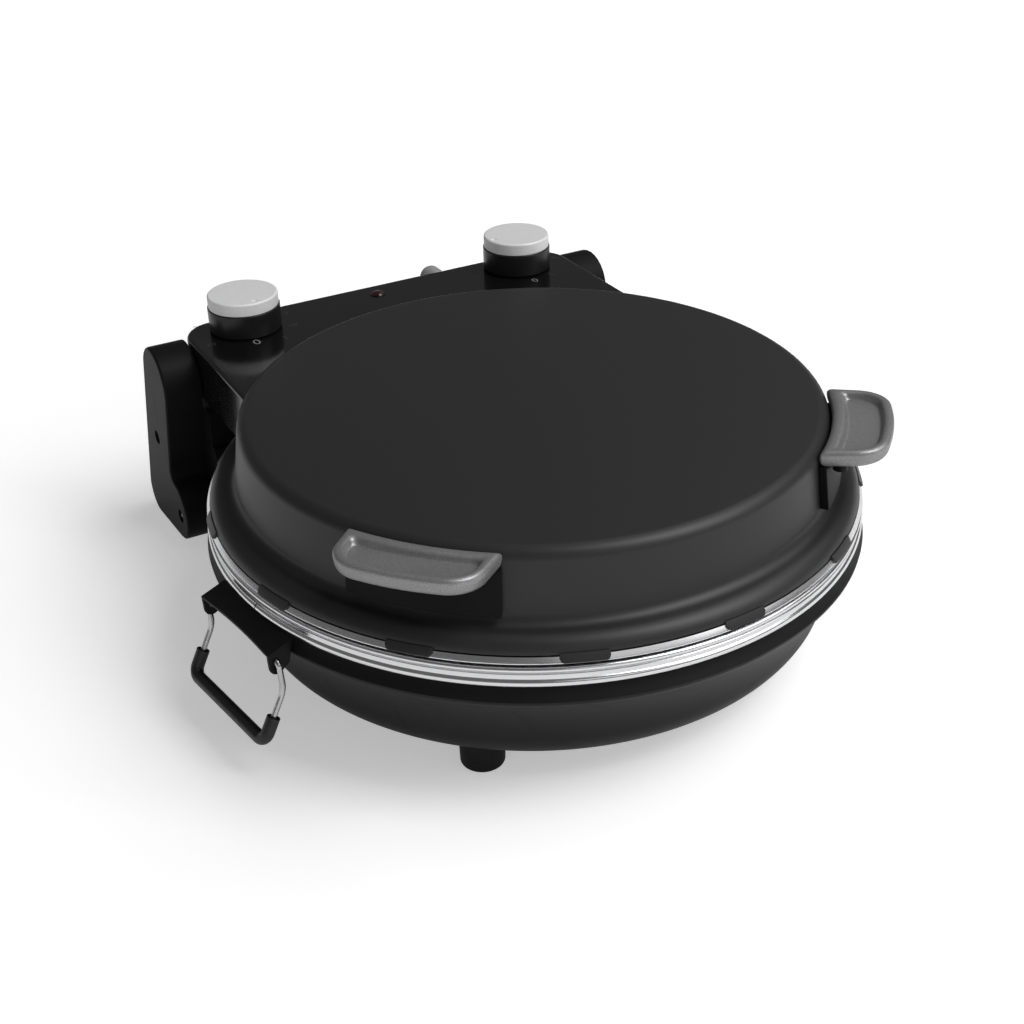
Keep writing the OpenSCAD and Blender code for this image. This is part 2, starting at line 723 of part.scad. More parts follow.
module hinge_bush_left() {
    color(grey) mirror([1, 0, 0]) hinge_bush();
}

module hinge_bush_right() {
    color(grey) hinge_bush();
}

// Threaded neck of a control through the panel, bored for its shaft
module control_neck(r) {
    translate([0, 0, panel_z - wall_t - 0.2]) difference() {
        cylinder(r = 4.95, h = wall_t + 3.2, $fn = 40);
        translate([0, 0, -1]) cylinder(r = r, h = 10, $fn = 40);
    }
}

// Clockwork timer: a plate with a gear case below it
module timer() {
    top = panel_z - wall_t - 0.1;
    color(steel) translate([-knob_x, knob_y, 0]) difference() {
        union() {
            control_neck(3.05);
            translate([-17, -27, top - 2]) cube([34, 40, 2]);
            translate([0, -7, top - 17]) cylinder(r = 15, h = 15, $fn = 64);
            translate([-10, -25, top - 12]) cube([20, 8, 10]);
        }
        translate([0, 0, top - 14]) cylinder(r = 3.05, h = 30, $fn = 40);
    }
}

// Bimetal thermostat: a ceramic disc under a steel strap
module thermostat() {
    top = panel_z - wall_t - 0.1;
    color(steel) translate([knob_x, knob_y, 0]) difference() {
        union() {
            control_neck(3.05);
            translate([-8, -14, top - 1.6]) cube([16, 28, 1.6]);
            translate([0, 0, top - 14]) cylinder(r = 11, h = 12.5, $fn = 64);
            translate([-4, -24, top - 9]) cube([8, 16, 1]);
        }
        translate([0, 0, top - 12]) cylinder(r = 3.05, h = 30, $fn = 40);
    }
}

module spindle_nuts() {
    color(steel) for (s = [-1, 1]) translate([s * knob_x, knob_y, panel_z + 0.02]) difference() {
        cylinder(r = 7.5, h = 2, $fn = 6);
        translate([0, 0, -1]) cylinder(r = 4.97, h = 5, $fn = 40);
    }
}

module indicator_lamp() {
    lens = 4.7;
    color([0.25, 0.05, 0.05]) translate([lamp_x, lamp_y, panel_z]) rotate_extrude($fn = 48) polygon(concat(
        [[0, -12], [3.4, -12], [3.4, -3], [3.95, -3], [3.95, 0.02], [lens, 0.02], [lens, 0.5]],
        [for (i = [1:4]) [lens * cos(i * 20), 0.5 + 1.3 * sin(i * 20)]],
        [[0, 1.8]]));
}

// Round cord gland on the rear face, snapped in with a tapered lip behind the wall
module cord_gland() {
    nose = 7.3;
    long = 17.5;
    color(grey) translate([gland_x, house_y, gland_z]) rotate([-90, 0, 0]) rotate_extrude($fn = 48)
        polygon(concat(
            [[3.6, -8], [5.5, -8], [6.3, -wall_t - 1.6], [6.3, -wall_t - 0.05], [5.95, -wall_t - 0.05],
                [5.95, 0.05], [nose, 0.05]],
            arc([nose - 3, long - 3], 3, 0, 80, 5),
            [[3.6, long]]));
}

// Stand-off between the lid's wall and a grip, following the wall
module handle_mount(a) {
    half = 13.6;
    low = liner_low + 17.3;
    out = 3.9;
    foot = wall_start + ((wall_start[1] - low) / cos(lid_draft)) * wall_down;
    color(satin) difference() {
        rotate([0, 0, -90 - a - half]) rotate_extrude(angle = 2 * half, $fn = 180) polygon(
            [foot + [0.12, 0], foot + [out + 0.6, 0],
             foot + [out + 0.6, 0] + [-3.2, grip_low + 0.8 - low],
             wall_start + [0.12 - (grip_low + 0.8 - wall_start[1]) * tan(lid_draft),
                 grip_low + 0.8 - wall_start[1]]]);
        facing(a) rotate([90, 0, 0]) translate([0, 0, -60]) linear_extrude(120) polygon(
            [for (u = [100, 200]) [u, grip_low - 0.05 + lift(u)], [200, grip_top], [100, grip_top]]);
    }
}

// Ring of a grip: an inner edge along the lid, sides that draw in a little, a rounded outer end.
// The inset moves every edge inwards, most of all the one along the lid, and nook is the radius of
// the corners there. The whole grip rises slightly towards its outer edge.
nose_r = 150;
grip_corner = 17.5;
grip_in = wall_start[0] + 0.4;
boss_place = [162.3, 29.5];
grip_horn = grip_in * cos(asin(grip_w / grip_in));
function lift(u) = grip_rise * (u - grip_horn) / (grip_r - grip_horn);
function drawn_in(u) = 1 - 0.0016 * (u - grip_horn);
function grip_ring(inset, nook, z) =
    let (big = nose_r - inset, small = grip_corner - inset, side = grip_w - inset)
    let (base = grip_in + 1.3 * inset)
    let (nose_c = [grip_r - nose_r, 0], ct = side - small)
    let (cu = nose_c[0] + sqrt(pow(big - small, 2) - ct * ct), turn = atan2(ct, cu - nose_c[0]))
    let (it = side - nook, iu = sqrt(pow(base + nook, 2) - it * it), away = atan2(it, iu))
    let (half = concat(
        arc([0, 0], base, 0.6, away - 1.5, 6),
        arc([iu, it], nook, 180 + away, 90, 4),
        arc([cu, ct], small, 90, turn, 6),
        arc(nose_c, big, turn * 0.75, turn * 0.25, 2)))
    [for (q = concat(half, mirrored(half))) [q[0], q[1] * drawn_in(q[0]), z + lift(q[0])]];

// Shallow dish with a rounded rim, lofted from its floor over the rim and down to the underside
module handle_grip(a) {
    low = grip_low;
    floor = grip_top - dish_h;
    steps = [[8.6, 4.6, floor], [7.4, 5.4, floor + 0.15], [6.5, 5.6, floor + 0.9],
        [5.7, 5, grip_top - 1.3], [4.4, 3.4, grip_top - 0.3], [2.8, 1.6, grip_top],
        [1.3, 0.8, grip_top - 0.25],
        [0.4, 0.5, grip_top - 0.9], [0, 0.4, low + 6.2], [0.2, 0.5, low + 3.6],
        [0.7, 0.6, low + 1.6], [1.5, 0.6, low + 0.4], [2.6, 0.6, low]];
    color(grey) facing(a) difference() {
        union() {
            loft([for (s = steps) grip_ring(s[0], s[1], s[2])]);
            for (s = [-1, 1]) translate([boss_place[0], s * boss_place[1], low - 3.6])
                cylinder(r = 3.75, h = 6, $fn = 32);
        }
        for (s = [-1, 1]) translate([boss_place[0], s * boss_place[1], low - 4])
            cylinder(r = 2.6, h = 3, $fn = 32);
    }
}

module handle_screws() {
    color(steel) for (a = [grip_angle, -grip_angle]) facing(a)
        for (s = [-1, 1]) translate([boss_place[0], s * boss_place[1], grip_low - 3])
            rotate_extrude($fn = 32) polygon([[0, 0], [2, 0], [2.4, 0.6], [2.4, 1.95], [0, 1.95]]);
}

module handle_mount_left() {
    handle_mount(grip_angle);
}

module handle_mount_right() {
    handle_mount(-grip_angle);
}

module handle_grip_left() {
    handle_grip(grip_angle);
}

module handle_grip_right() {
    handle_grip(-grip_angle);
}

// Knob skirt: a thin cup with a hub for the shaft and a seat for the cap
module knob_skirt(x) {
    r = cap_r + 0.6;
    color(gloss) translate([x, knob_y, knob_low]) rotate_extrude($fn = 96) polygon(
        [[3.03, 2.6], [5.6, 2.6], [5.6, skirt_h - 2.4], [r - 2.2, skirt_h - 2.4], [r - 2, 0],
         [r - 0.3, 0], [r, 0.4], [r, skirt_h - 0.5], [r - 0.5, skirt_h], [3.03, skirt_h]]);
}

// Knob cap: a flat disc with a softened edge and a small round dimple as its pointer
module knob_cap(x, point) {
    color(pale) translate([x, knob_y, cap_low + 0.02]) difference() {
        rotate_extrude($fn = 96) polygon(concat(
            [[0, 0], [cap_r - 0.3, 0], [cap_r, 0.4]],
            arc([cap_r - 1.2, cap_h - 1.2], 1.2, 0, 90, 4),
            [[0, cap_h]]));
        rotate([0, 0, point]) translate([cap_r - 3.6, 0, cap_h - 0.5]) cylinder(r = 1.7, h = 2, $fn = 32);
    }
}

// Control shaft from the works below the panel up to the underside of the knob's cap
module knob_shaft(x) {
    low = panel_z - 12.5;
    color(steel) translate([x, knob_y, low]) cylinder(r = 3, h = cap_low - low, $fn = 40);
}

module knob_skirt_left() {
    knob_skirt(-knob_x);
}

module knob_skirt_right() {
    knob_skirt(knob_x);
}

module knob_cap_left() {
    knob_cap(-knob_x, -85);
}

module knob_cap_right() {
    knob_cap(knob_x, 187);
}

module knob_shaft_left() {
    knob_shaft(-knob_x);
}

module knob_shaft_right() {
    knob_shaft(knob_x);
}

base_bowl();
base_ring();
base_reflector();
pizza_stone();
lower_element();
lower_element_clips();
feet();
foot_screws();
rear_housing();
rear_cover();
rear_cover_screws();
terminal_block();
arm_left();
arm_right();
arm_cover_left();
arm_cover_right();
arm_screws();
hinge_pin_left();
hinge_pin_right();
bail_bracket_left();
bail_bracket_right();
bail_wire_left();
bail_wire_right();
bail_sleeve_left();
bail_sleeve_right();
lid_shell();
lid_liner();
upper_element();
upper_element_clips();
housing_top();
housing_base();
housing_screws();
hinge_bush_left();
hinge_bush_right();
timer();
thermostat();
spindle_nuts();
indicator_lamp();
cord_gland();
handle_mount_left();
handle_mount_right();
handle_grip_left();
handle_grip_right();
handle_screws();
knob_skirt_left();
knob_skirt_right();
knob_cap_left();
knob_cap_right();
knob_shaft_left();
knob_shaft_right();
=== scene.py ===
"""Visual model of a round countertop pizza oven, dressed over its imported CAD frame.

Lengths are written in millimetres, as a maker would give them, and turned to metres when a mesh is made.
+Z is up, the front is at -Y, and the origin is on the table below the centre of the round body.
"""

import logging
import math
from dataclasses import dataclass
from enum import Enum
from typing import ClassVar, Mapping, Sequence

import bmesh
import bpy
from mathutils import Matrix, Vector


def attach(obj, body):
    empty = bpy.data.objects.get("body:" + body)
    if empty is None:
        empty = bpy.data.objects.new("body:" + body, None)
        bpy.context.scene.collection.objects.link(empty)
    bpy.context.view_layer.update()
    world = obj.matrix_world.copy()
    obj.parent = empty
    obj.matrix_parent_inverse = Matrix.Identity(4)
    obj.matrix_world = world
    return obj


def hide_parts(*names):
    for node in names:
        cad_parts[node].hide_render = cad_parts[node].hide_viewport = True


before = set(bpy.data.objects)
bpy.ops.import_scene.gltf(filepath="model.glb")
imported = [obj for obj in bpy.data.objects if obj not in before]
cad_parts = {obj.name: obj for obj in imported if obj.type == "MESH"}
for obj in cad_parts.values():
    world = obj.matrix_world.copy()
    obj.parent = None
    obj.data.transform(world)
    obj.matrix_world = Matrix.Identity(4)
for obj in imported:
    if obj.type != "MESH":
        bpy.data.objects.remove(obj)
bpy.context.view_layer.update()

LOG = logging.getLogger("pizza_oven")
MM = 0.001  # metres in a millimetre
WELD = 1e-6  # distance in metres at which points merge
FACETS = 320  # steps round a large turned piece
Point2 = tuple[float, float]
Point3 = tuple[float, float, float]
Mark = tuple[float, float, str]
Mesh = bpy.types.Mesh
Socket = bpy.types.NodeSocket
Sockets = Mapping[str, Socket]


# Plane geometry: points are (radius, height) or (across, along), in millimetres


def ray(angle: float) -> Point2:
    """Unit direction at an angle in degrees."""
    return math.cos(math.radians(angle)), math.sin(math.radians(angle))


def step(start: Point2, direction: Point2, distance: float) -> Point2:
    """Point at a distance from a start along a direction."""
    return start[0] + distance * direction[0], start[1] + distance * direction[1]


def arc(centre: Point2, radius: float, first: float, last: float, count: int) -> list[Point2]:
    """Points along a circular arc.

    Args:
        centre: Centre of the arc.
        radius: Its radius.
        first: Angle of the first point, in degrees.
        last: Angle of the last point, in degrees.
        count: Number of steps between them.

    Returns:
        The points, one more than the steps.
    """
    return [step(centre, ray(first + (last - first) * i / count), radius) for i in range(count + 1)]


def offset(path: Sequence[Point2], distance: float) -> list[Point2]:
    """Path moved to its left by a distance, with mitred corners.

    Args:
        path: Points of the open path.
        distance: Shift to the left; a negative one goes to the right.

    Returns:
        The moved points.
    """
    normals = []
    for (x0, y0), (x1, y1) in zip(path, path[1:]):
        length = math.hypot(x1 - x0, y1 - y0)
        normals.append(((y0 - y1) / length, (x1 - x0) / length))
    moved = []
    for i, point in enumerate(path):
        before, after = normals[max(i - 1, 0)], normals[min(i, len(normals) - 1)]
        total = (before[0] + after[0], before[1] + after[1])
        scale = 2 / (total[0] ** 2 + total[1] ** 2)
        moved.append(step(point, total, scale * distance))
    return moved


def sheet(path: Sequence[Point2], wall: float) -> list[Point2]:
    """Closed outline of a sheet that follows a path.

    Args:
        path: One face of the sheet, from the axis outwards.
        wall: Thickness to the left of the path; a negative one goes to the right.

    Returns:
        The outline, which starts and ends at the axis.
    """
    return list(path) + [(max(r, 0.0), z) for r, z in reversed(offset(path, wall))]


def smooth_steps(knots: Sequence[Sequence[float]], between: int) -> list[tuple[float, ...]]:
    """Knots joined by a Catmull-Rom curve.

    Args:
        knots: Rows of values that the curve passes through.
        between: Number of steps from one knot to the next.

    Returns:
        The rows along the curve.
    """
    rows = []
    last = len(knots) - 1
    for k in range(last):
        p0, p1, p2, p3 = (knots[max(0, min(last, k + d))] for d in (-1, 0, 1, 2))
        for i in range(between):
            t = i / between
            rows.append(tuple(
                0.5 * (2 * b + (c - a) * t + (2 * a - 5 * b + 4 * c - d) * t * t
                       + (3 * b - a - 3 * c + d) * t ** 3)
                for a, b, c, d in zip(p0, p1, p2, p3)))
    rows.append(tuple(knots[-1]))
    return rows


# Node trees


class Wiring:
    """Adds nodes to a node tree and joins them."""

    def __init__(self, tree: bpy.types.NodeTree) -> None:
        """Starts on a tree that may already hold nodes."""
        self.tree = tree

    def add(self, kind: str, values: Mapping | None = None, **settings: object) -> bpy.types.Node:
        """Adds a node.

        Args:
            kind: Blender's name of the node type.
            values: Input name or number to a constant, or to the output socket that feeds it.
            **settings: Properties of the node itself.

        Returns:
            The new node.
        """
        node = self.tree.nodes.new(kind)
        for name, value in settings.items():
            setattr(node, name, value)
        for key, value in (values or {}).items():
            if isinstance(value, Socket):
                self.link(value, node.inputs[key])
            else:
                node.inputs[key].default_value = value
        return node

    def link(self, source: Socket, target: Socket) -> None:
        """Joins an output to an input."""
        self.tree.links.new(source, target)

    def shape(self, kind: str, values: Mapping | None = None, **settings: object) -> Socket:
        """First output of a Geometry Nodes node."""
        return self.add(f"GeometryNode{kind}", values, **settings).outputs[0]

    def maths(self, operation: str, *values: object) -> Socket:
        """Output of a Math node, given its operation and its inputs in order."""
        return self.add("ShaderNodeMath", dict(enumerate(values)), operation=operation).outputs[0]

    def place(self) -> Socket:
        """Object coordinates of the shaded point."""
        return self.add("ShaderNodeTexCoord").outputs["Object"]

    def axes(self, vector: Socket) -> Sequence[Socket]:
        """The three parts of a vector."""
        return self.add("ShaderNodeSeparateXYZ", {0: vector}).outputs

    def vector(self, *parts: object) -> Socket:
        """A vector of three parts."""
        return self.add("ShaderNodeCombineXYZ", dict(enumerate(parts))).outputs[0]

    def noise(self, place: Socket, scale: object, detail: float, roughness: float = 0.5,
              distortion: float = 0.0) -> Socket:
        """Value of a cloudy noise."""
        return self.add("ShaderNodeTexNoise", {"Vector": place, "Scale": scale, "Detail": detail,
                                               "Roughness": roughness, "Distortion": distortion}).outputs[0]

    def cells(self, place: Socket, scale: object) -> Sockets:
        """Distance and colour of a pattern of cells."""
        return self.add("ShaderNodeTexVoronoi", {"Vector": place, "Scale": scale}).outputs

    def ramp(self, value: Socket, first: float, last: float, low: float = 0.0, high: float = 1.0,
             curve: str = "LINEAR") -> Socket:
        """A value taken from one range to another, and held at its ends.

        Args:
            value: The value.
            first: Value that gives the low end.
            last: Value that gives the high end.
            low: The low end.
            high: The high end.
            curve: Blender's name of the way between the ends.

        Returns:
            The new value.
        """
        ends = {"From Min": first, "From Max": last, "To Min": low, "To Max": high}
        return self.add("ShaderNodeMapRange", {"Value": value, **ends}, interpolation_type=curve).outputs[0]

    def mix(self, share: Socket, first: object, second: object) -> Socket:
        """Colour between two others, by the share of the second."""
        return self.add("ShaderNodeMix", {"Factor": share, "A": first, "B": second},
                        data_type="RGBA").outputs["Result"]


def new_socket(tree: bpy.types.NodeTree, name: str, way: str, kind: str, default: object = None) -> None:
    """Adds a socket to a node group's interface.

    Args:
        tree: The node group.
        name: Name of the socket.
        way: INPUT or OUTPUT.
        kind: What it carries, such as Float or Geometry.
        default: Its value where nothing feeds it.
    """
    socket = tree.interface.new_socket(name=name, in_out=way, socket_type=f"NodeSocket{kind}")
    if default is not None:
        socket.default_value = default


def plain_mesh(holder: bpy.types.Object) -> Mesh:
    """Mesh of an object with all its modifiers applied.

    Args:
        holder: The object, which is linked to the scene here.

    Returns:
        A new plain mesh.
    """
    bpy.context.scene.collection.objects.link(holder)
    depsgraph = bpy.context.evaluated_depsgraph_get()
    depsgraph.update()
    return bpy.data.meshes.new_from_object(holder.evaluated_get(depsgraph), depsgraph=depsgraph)


class Maker(Enum):
    """Geometry Nodes trees that make a piece from a plain carrier mesh."""

    TURNED = "turned"
    SWEPT = "swept"
    REPEATED = "repeated"


class Workshop:
    """Builds the Geometry Nodes trees once and grows meshes with them."""

    trees: ClassVar[dict[Maker, bpy.types.NodeTree]] = {}
    inputs: ClassVar[dict[Maker, dict[str, tuple]]] = {
        Maker.TURNED: {"Segments": ("Int", 256)},
        Maker.SWEPT: {"Radius": ("Float", MM), "Sides": ("Int", 24)},
        Maker.REPEATED: {"Piece": ("Object",)}}

    @classmethod
    def tree(cls, maker: Maker) -> bpy.types.NodeTree:
        """The tree of a maker, built at its first use; it ends in Realize Instances and Set Material.

        Args:
            maker: The maker.

        Returns:
            Its tree.
        """
        if maker not in cls.trees:
            tree = bpy.data.node_groups.new(maker.value, "GeometryNodeTree")
            inputs = {"Geometry": ("Geometry",), **cls.inputs[maker], "Finish": ("Material",)}
            for name, what in inputs.items():
                new_socket(tree, name, "INPUT", *what)
            new_socket(tree, "Geometry", "OUTPUT", "Geometry")
            net = Wiring(tree)
            source = net.add("NodeGroupInput").outputs
            build = {Maker.TURNED: cls._turned, Maker.SWEPT: cls._swept, Maker.REPEATED: cls._repeated}
            real = net.shape("RealizeInstances", {"Geometry": build[maker](net, source)})
            done = net.shape("SetMaterial", {"Geometry": real, "Material": source["Finish"]})
            net.add("NodeGroupOutput", {"Geometry": done})
            cls.trees[maker] = tree
        return cls.trees[maker]

    @staticmethod
    def _turned(net: Wiring, source: Sockets) -> Socket:
        """Spins the carrier's profile, given in the XZ plane, round the Z axis.

        Args:
            net: Wiring of the tree.
            source: The tree's inputs.

        Returns:
            The shape.
        """
        profile, segments = source["Geometry"], source["Segments"]
        rows = net.shape("AttributeDomainSize", {"Geometry": profile})
        columns = net.maths("ADD", segments, 1.0)
        grid = net.shape("MeshGrid", {"Vertices X": rows, "Vertices Y": columns})
        index = net.shape("InputIndex")
        row = net.maths("FLOOR", net.maths("DIVIDE", index, columns))
        column = net.maths("SUBTRACT", index, net.maths("MULTIPLY", row, columns))
        position = net.shape("InputPosition")
        sample = net.shape("SampleIndex", {"Geometry": profile, "Value": position, "Index": row},
                           data_type="FLOAT_VECTOR", domain="POINT")
        radius, _, height = net.axes(sample)
        angle = net.maths("DIVIDE", net.maths("MULTIPLY", column, math.tau), segments)
        around = net.vector(net.maths("MULTIPLY", radius, net.maths("COSINE", angle)),
                            net.maths("MULTIPLY", radius, net.maths("SINE", angle)), height)
        moved = net.shape("SetPosition", {"Geometry": grid, "Position": around})
        return net.shape("MergeByDistance", {"Geometry": moved, "Distance": WELD})

    @staticmethod
    def _swept(net: Wiring, source: Sockets) -> Socket:
        """Runs a round section along the carrier's line of edges, with closed ends.

        Args:
            net: Wiring of the tree.
            source: The tree's inputs.

        Returns:
            The shape.
        """
        line = net.shape("MeshToCurve", {"Mesh": source["Geometry"]})
        section = net.shape("CurvePrimitiveCircle",
                            {"Resolution": source["Sides"], "Radius": source["Radius"]})
        return net.shape("CurveToMesh", {"Curve": line, "Profile Curve": section, "Fill Caps": True})

    @staticmethod
    def _repeated(net: Wiring, source: Sockets) -> Socket:
        """Sets a copy of one piece on each point of the carrier, turned by the point's attribute "turn".

        Args:
            net: Wiring of the tree.
            source: The tree's inputs.

        Returns:
            The copies.
        """
        piece = net.add("GeometryNodeObjectInfo", {"Object": source["Piece"], "As Instance": True})
        turn = net.shape("InputNamedAttribute", {"Name": "turn"}, data_type="FLOAT_VECTOR")
        euler = net.add("FunctionNodeEulerToRotation", {"Euler": turn})
        return net.shape("InstanceOnPoints", {"Points": source["Geometry"], "Rotation": euler.outputs[0],
                                              "Instance": piece.outputs["Geometry"]})

    @classmethod
    def grow(cls, maker: Maker, carrier: Mesh, finish: "Finish", values: Mapping[str, object]) -> Mesh:
        """Runs a maker's tree on a carrier mesh.

        Args:
            maker: The tree to run.
            carrier: The mesh that the tree starts from, which is then removed.
            finish: The finish that the piece takes.
            values: Name of each of the tree's other inputs to its value.

        Returns:
            The finished plain mesh.
        """
        tree = cls.tree(maker)
        holder = bpy.data.objects.new("carrier", carrier)
        modifier = holder.modifiers.new("grow", "NODES")
        modifier.node_group = tree
        chosen = {**values, "Finish": finish.material()}
        for item in tree.interface.items_tree:
            if item.item_type == "SOCKET" and item.in_out == "INPUT" and item.name in chosen:
                modifier[item.identifier] = chosen[item.name]
        mesh = plain_mesh(holder)
        holder.modifiers.remove(modifier)
        bpy.data.objects.remove(holder)
        bpy.data.meshes.remove(carrier)
        return mesh


# Effects that several finishes share


class Effect(Enum):
    """Shader node groups of effects."""

    GRAIN = "fine_grain"
    HANDLING = "handling_marks"
    TURNING = "turning_lines"


class Effects:
    """Builds each effect's node group once; a group puts out masks and heights only."""

    groups: ClassVar[dict[Effect, bpy.types.NodeTree]] = {}
    inputs: ClassVar[dict[Effect, dict[str, float]]] = {
        Effect.GRAIN: {"Scale": 900.0, "Cloud Scale": 14.0},
        Effect.HANDLING: {"Scale": 9.0},
        Effect.TURNING: {"Fineness": 900.0}}

    @classmethod
    def group(cls, effect: Effect) -> bpy.types.NodeTree:
        """The group of an effect, built at its first use.

        Args:
            effect: The effect.

        Returns:
            Its node group.
        """
        if effect not in cls.groups:
            tree = bpy.data.node_groups.new(effect.value, "ShaderNodeTree")
            for name, default in cls.inputs[effect].items():
                new_socket(tree, name, "INPUT", "Float", default)
            net = Wiring(tree)
            build = {Effect.GRAIN: cls._grain, Effect.HANDLING: cls._handling, Effect.TURNING: cls._turning}
            masks = build[effect](net, net.add("NodeGroupInput").outputs)
            for name in masks:
                new_socket(tree, name, "OUTPUT", "Float")
            net.add("NodeGroupOutput", masks)
            cls.groups[effect] = tree
        return cls.groups[effect]

    @staticmethod
    def _grain(net: Wiring, source: Sockets) -> Sockets:
        """Fine moulded or sprayed grain.

        Args:
            net: Wiring of the group.
            source: The group's inputs.

        Returns:
            A height, and a slow cloudy mask.
        """
        place = net.place()
        fine = net.noise(place, source["Scale"], 3.0, 0.6)
        height = net.maths("MULTIPLY_ADD", net.cells(place, source["Scale"])["Distance"], 0.5, fine)
        return {"Height": height, "Cloud": net.noise(place, source["Cloud Scale"], 5.0, 0.55, 0.4)}

    @staticmethod
    def _handling(net: Wiring, source: Sockets) -> Sockets:
        """Faint wipe marks and settled dust.

        Args:
            net: Wiring of the group.
            source: The group's inputs.

        Returns:
            A mask for each.
        """
        place = net.place()
        drawn = net.add("ShaderNodeMapping", {"Vector": place, "Rotation": (0.3, 0.2, 0.7),
                                              "Scale": (1.0, 4.5, 1.0)})
        wipe = net.noise(drawn.outputs[0], source["Scale"], 6.0, 0.62, 0.6)
        speck = net.ramp(net.cells(place, 420.0)["Distance"], 0.16, 0.04)
        patch = net.ramp(net.noise(place, 30.0, 2.0), 0.52, 0.7)
        return {"Wipe": net.ramp(wipe, 0.5, 0.78, curve="SMOOTHSTEP"),
                "Dust": net.maths("MULTIPLY", speck, patch)}

    @staticmethod
    def _turning(net: Wiring, source: Sockets) -> Sockets:
        """Fine lines that run round the Z axis, as spinning and rolling leave on sheet.

        Args:
            net: Wiring of the group.
            source: The group's inputs.

        Returns:
            A height of fine lines, and a mask of broad streaks.
        """
        x, y, z = net.axes(net.place())
        radius = net.maths("SQRT", net.maths("ADD", net.maths("MULTIPLY", x, x), net.maths("MULTIPLY", y, y)))
        angle = net.maths("ARCTAN2", y, x)

        def lines(fineness: object, wave: str, sway: float, detail: float, roughness: float) -> Socket:
            """Noise drawn out round the axis, swaying a little by a wave of the angle."""
            fold = net.vector(net.maths("MULTIPLY", radius, fineness), net.maths("MULTIPLY", z, fineness),
                              net.maths("MULTIPLY", net.maths(wave, angle), sway))
            return net.noise(fold, 1.0, detail, roughness)

        return {"Height": lines(source["Fineness"], "SINE", 1.6, 4.0, 0.7),
                "Streak": lines(260.0, "COSINE", 5.0, 3.0, 0.6)}


# Finishes


class Surface(Wiring):
    """A material's node tree, wired round its Principled shader."""

    def __init__(self, tree: bpy.types.NodeTree, metallic: float, specular: float) -> None:
        """Clears the tree and places the shader.

        Args:
            tree: The material's node tree.
            metallic: How metallic it is all over.
            specular: Its specular level all over.
        """
        super().__init__(tree)
        tree.nodes.clear()
        self.shader = self.add("ShaderNodeBsdfPrincipled",
                               {"Metallic": metallic, "Specular IOR Level": specular})
        self.add("ShaderNodeOutputMaterial", {"Surface": self.shader.outputs[0]})

    def feed(self, name: str, value: Socket) -> None:
        """Joins a socket to one of the shader's inputs, in place of what fed it before."""
        self.link(value, self.shader.inputs[name])

    def effect(self, effect: Effect, values: Mapping[str, float]) -> Sockets:
        """Outputs of a shared effect, placed with values of this material's own."""
        return self.add("ShaderNodeGroup", values, node_tree=Effects.group(effect)).outputs


@dataclass(frozen=True)
class Finish:
    """A finish with its material slot and the values that all finishes have."""

    name: str
    slot: str
    color: tuple[float, float, float]
    roughness: float = 0.4
    metallic: float = 0.0
    specular: float = 0.5
    grain_scale: float = 900.0
    grain_depth: float = 0.02
    variation: float = 0.12

    def material(self) -> bpy.types.Material:
        """The Blender material, made at its first use.

        Returns:
            The material.
        """
        made = bpy.data.materials.get(self.name)
        if made is None:
            made = bpy.data.materials.new(self.name)
            made.use_nodes = True
            made.diffuse_color = (*self.color, 1.0)
            made.roughness = self.roughness
            made.metallic = self.metallic
            self.dress(Surface(made.node_tree, self.metallic, self.specular))
        return made

    def dress(self, surface: Surface) -> None:
        """Feeds the shader's colour, roughness and normal; each kind of finish adds its own marks.

        Args:
            surface: The material's tree.
        """
        grain = self.grain(surface)
        self.tint(surface, grain["Cloud"])
        self.roughen(surface, grain["Cloud"])
        self.relief(surface, grain["Height"])

    def grain(self, surface: Surface) -> Sockets:
        """The shared grain, at this finish's scale."""
        return surface.effect(Effect.GRAIN, {"Scale": self.grain_scale})

    def shade(self, factor: float) -> tuple[float, ...]:
        """This finish's colour made lighter or darker."""
        return (*(min(1.0, c * factor) for c in self.color), 1.0)

    def tint(self, surface: Surface, mask: Socket) -> Socket:
        """Varies the base colour a little with a mask.

        Args:
            surface: The material's tree.
            mask: The mask.

        Returns:
            The colour.
        """
        color = surface.mix(mask, self.shade(1 - self.variation), self.shade(1 + self.variation))
        surface.feed("Base Color", color)
        return color

    def roughen(self, surface: Surface, mask: Socket, spread: float = 0.2) -> None:
        """Varies the roughness about its plain value with a mask."""
        ends = self.roughness * (1 - spread), min(1.0, self.roughness * (1 + spread))
        surface.feed("Roughness", surface.ramp(mask, 0.3, 0.7, *ends))

    def relief(self, surface: Surface, height: Socket) -> None:
        """Turns a height into a normal, with this finish's depth in millimetres."""
        bump = surface.add("ShaderNodeBump", {"Height": height, "Distance": self.grain_depth * MM})
        surface.feed("Normal", bump.outputs[0])


@dataclass(frozen=True)
class HandledFinish(Finish):
    """A finish that is wiped and gathers a little dust."""

    dust_share: ClassVar[float]
    dust_level: ClassVar[float]

    def dusted(self, surface: Surface, mask: Socket, dust: Socket) -> None:
        """Varies the base colour with a mask and lays dust on it.

        Args:
            surface: The material's tree.
            mask: The mask.
            dust: Mask of the dust.
        """
        share, level = surface.maths("MULTIPLY", dust, self.dust_share), self.dust_level
        surface.feed("Base Color", surface.mix(share, self.tint(surface, mask), (level, level, level, 1.0)))


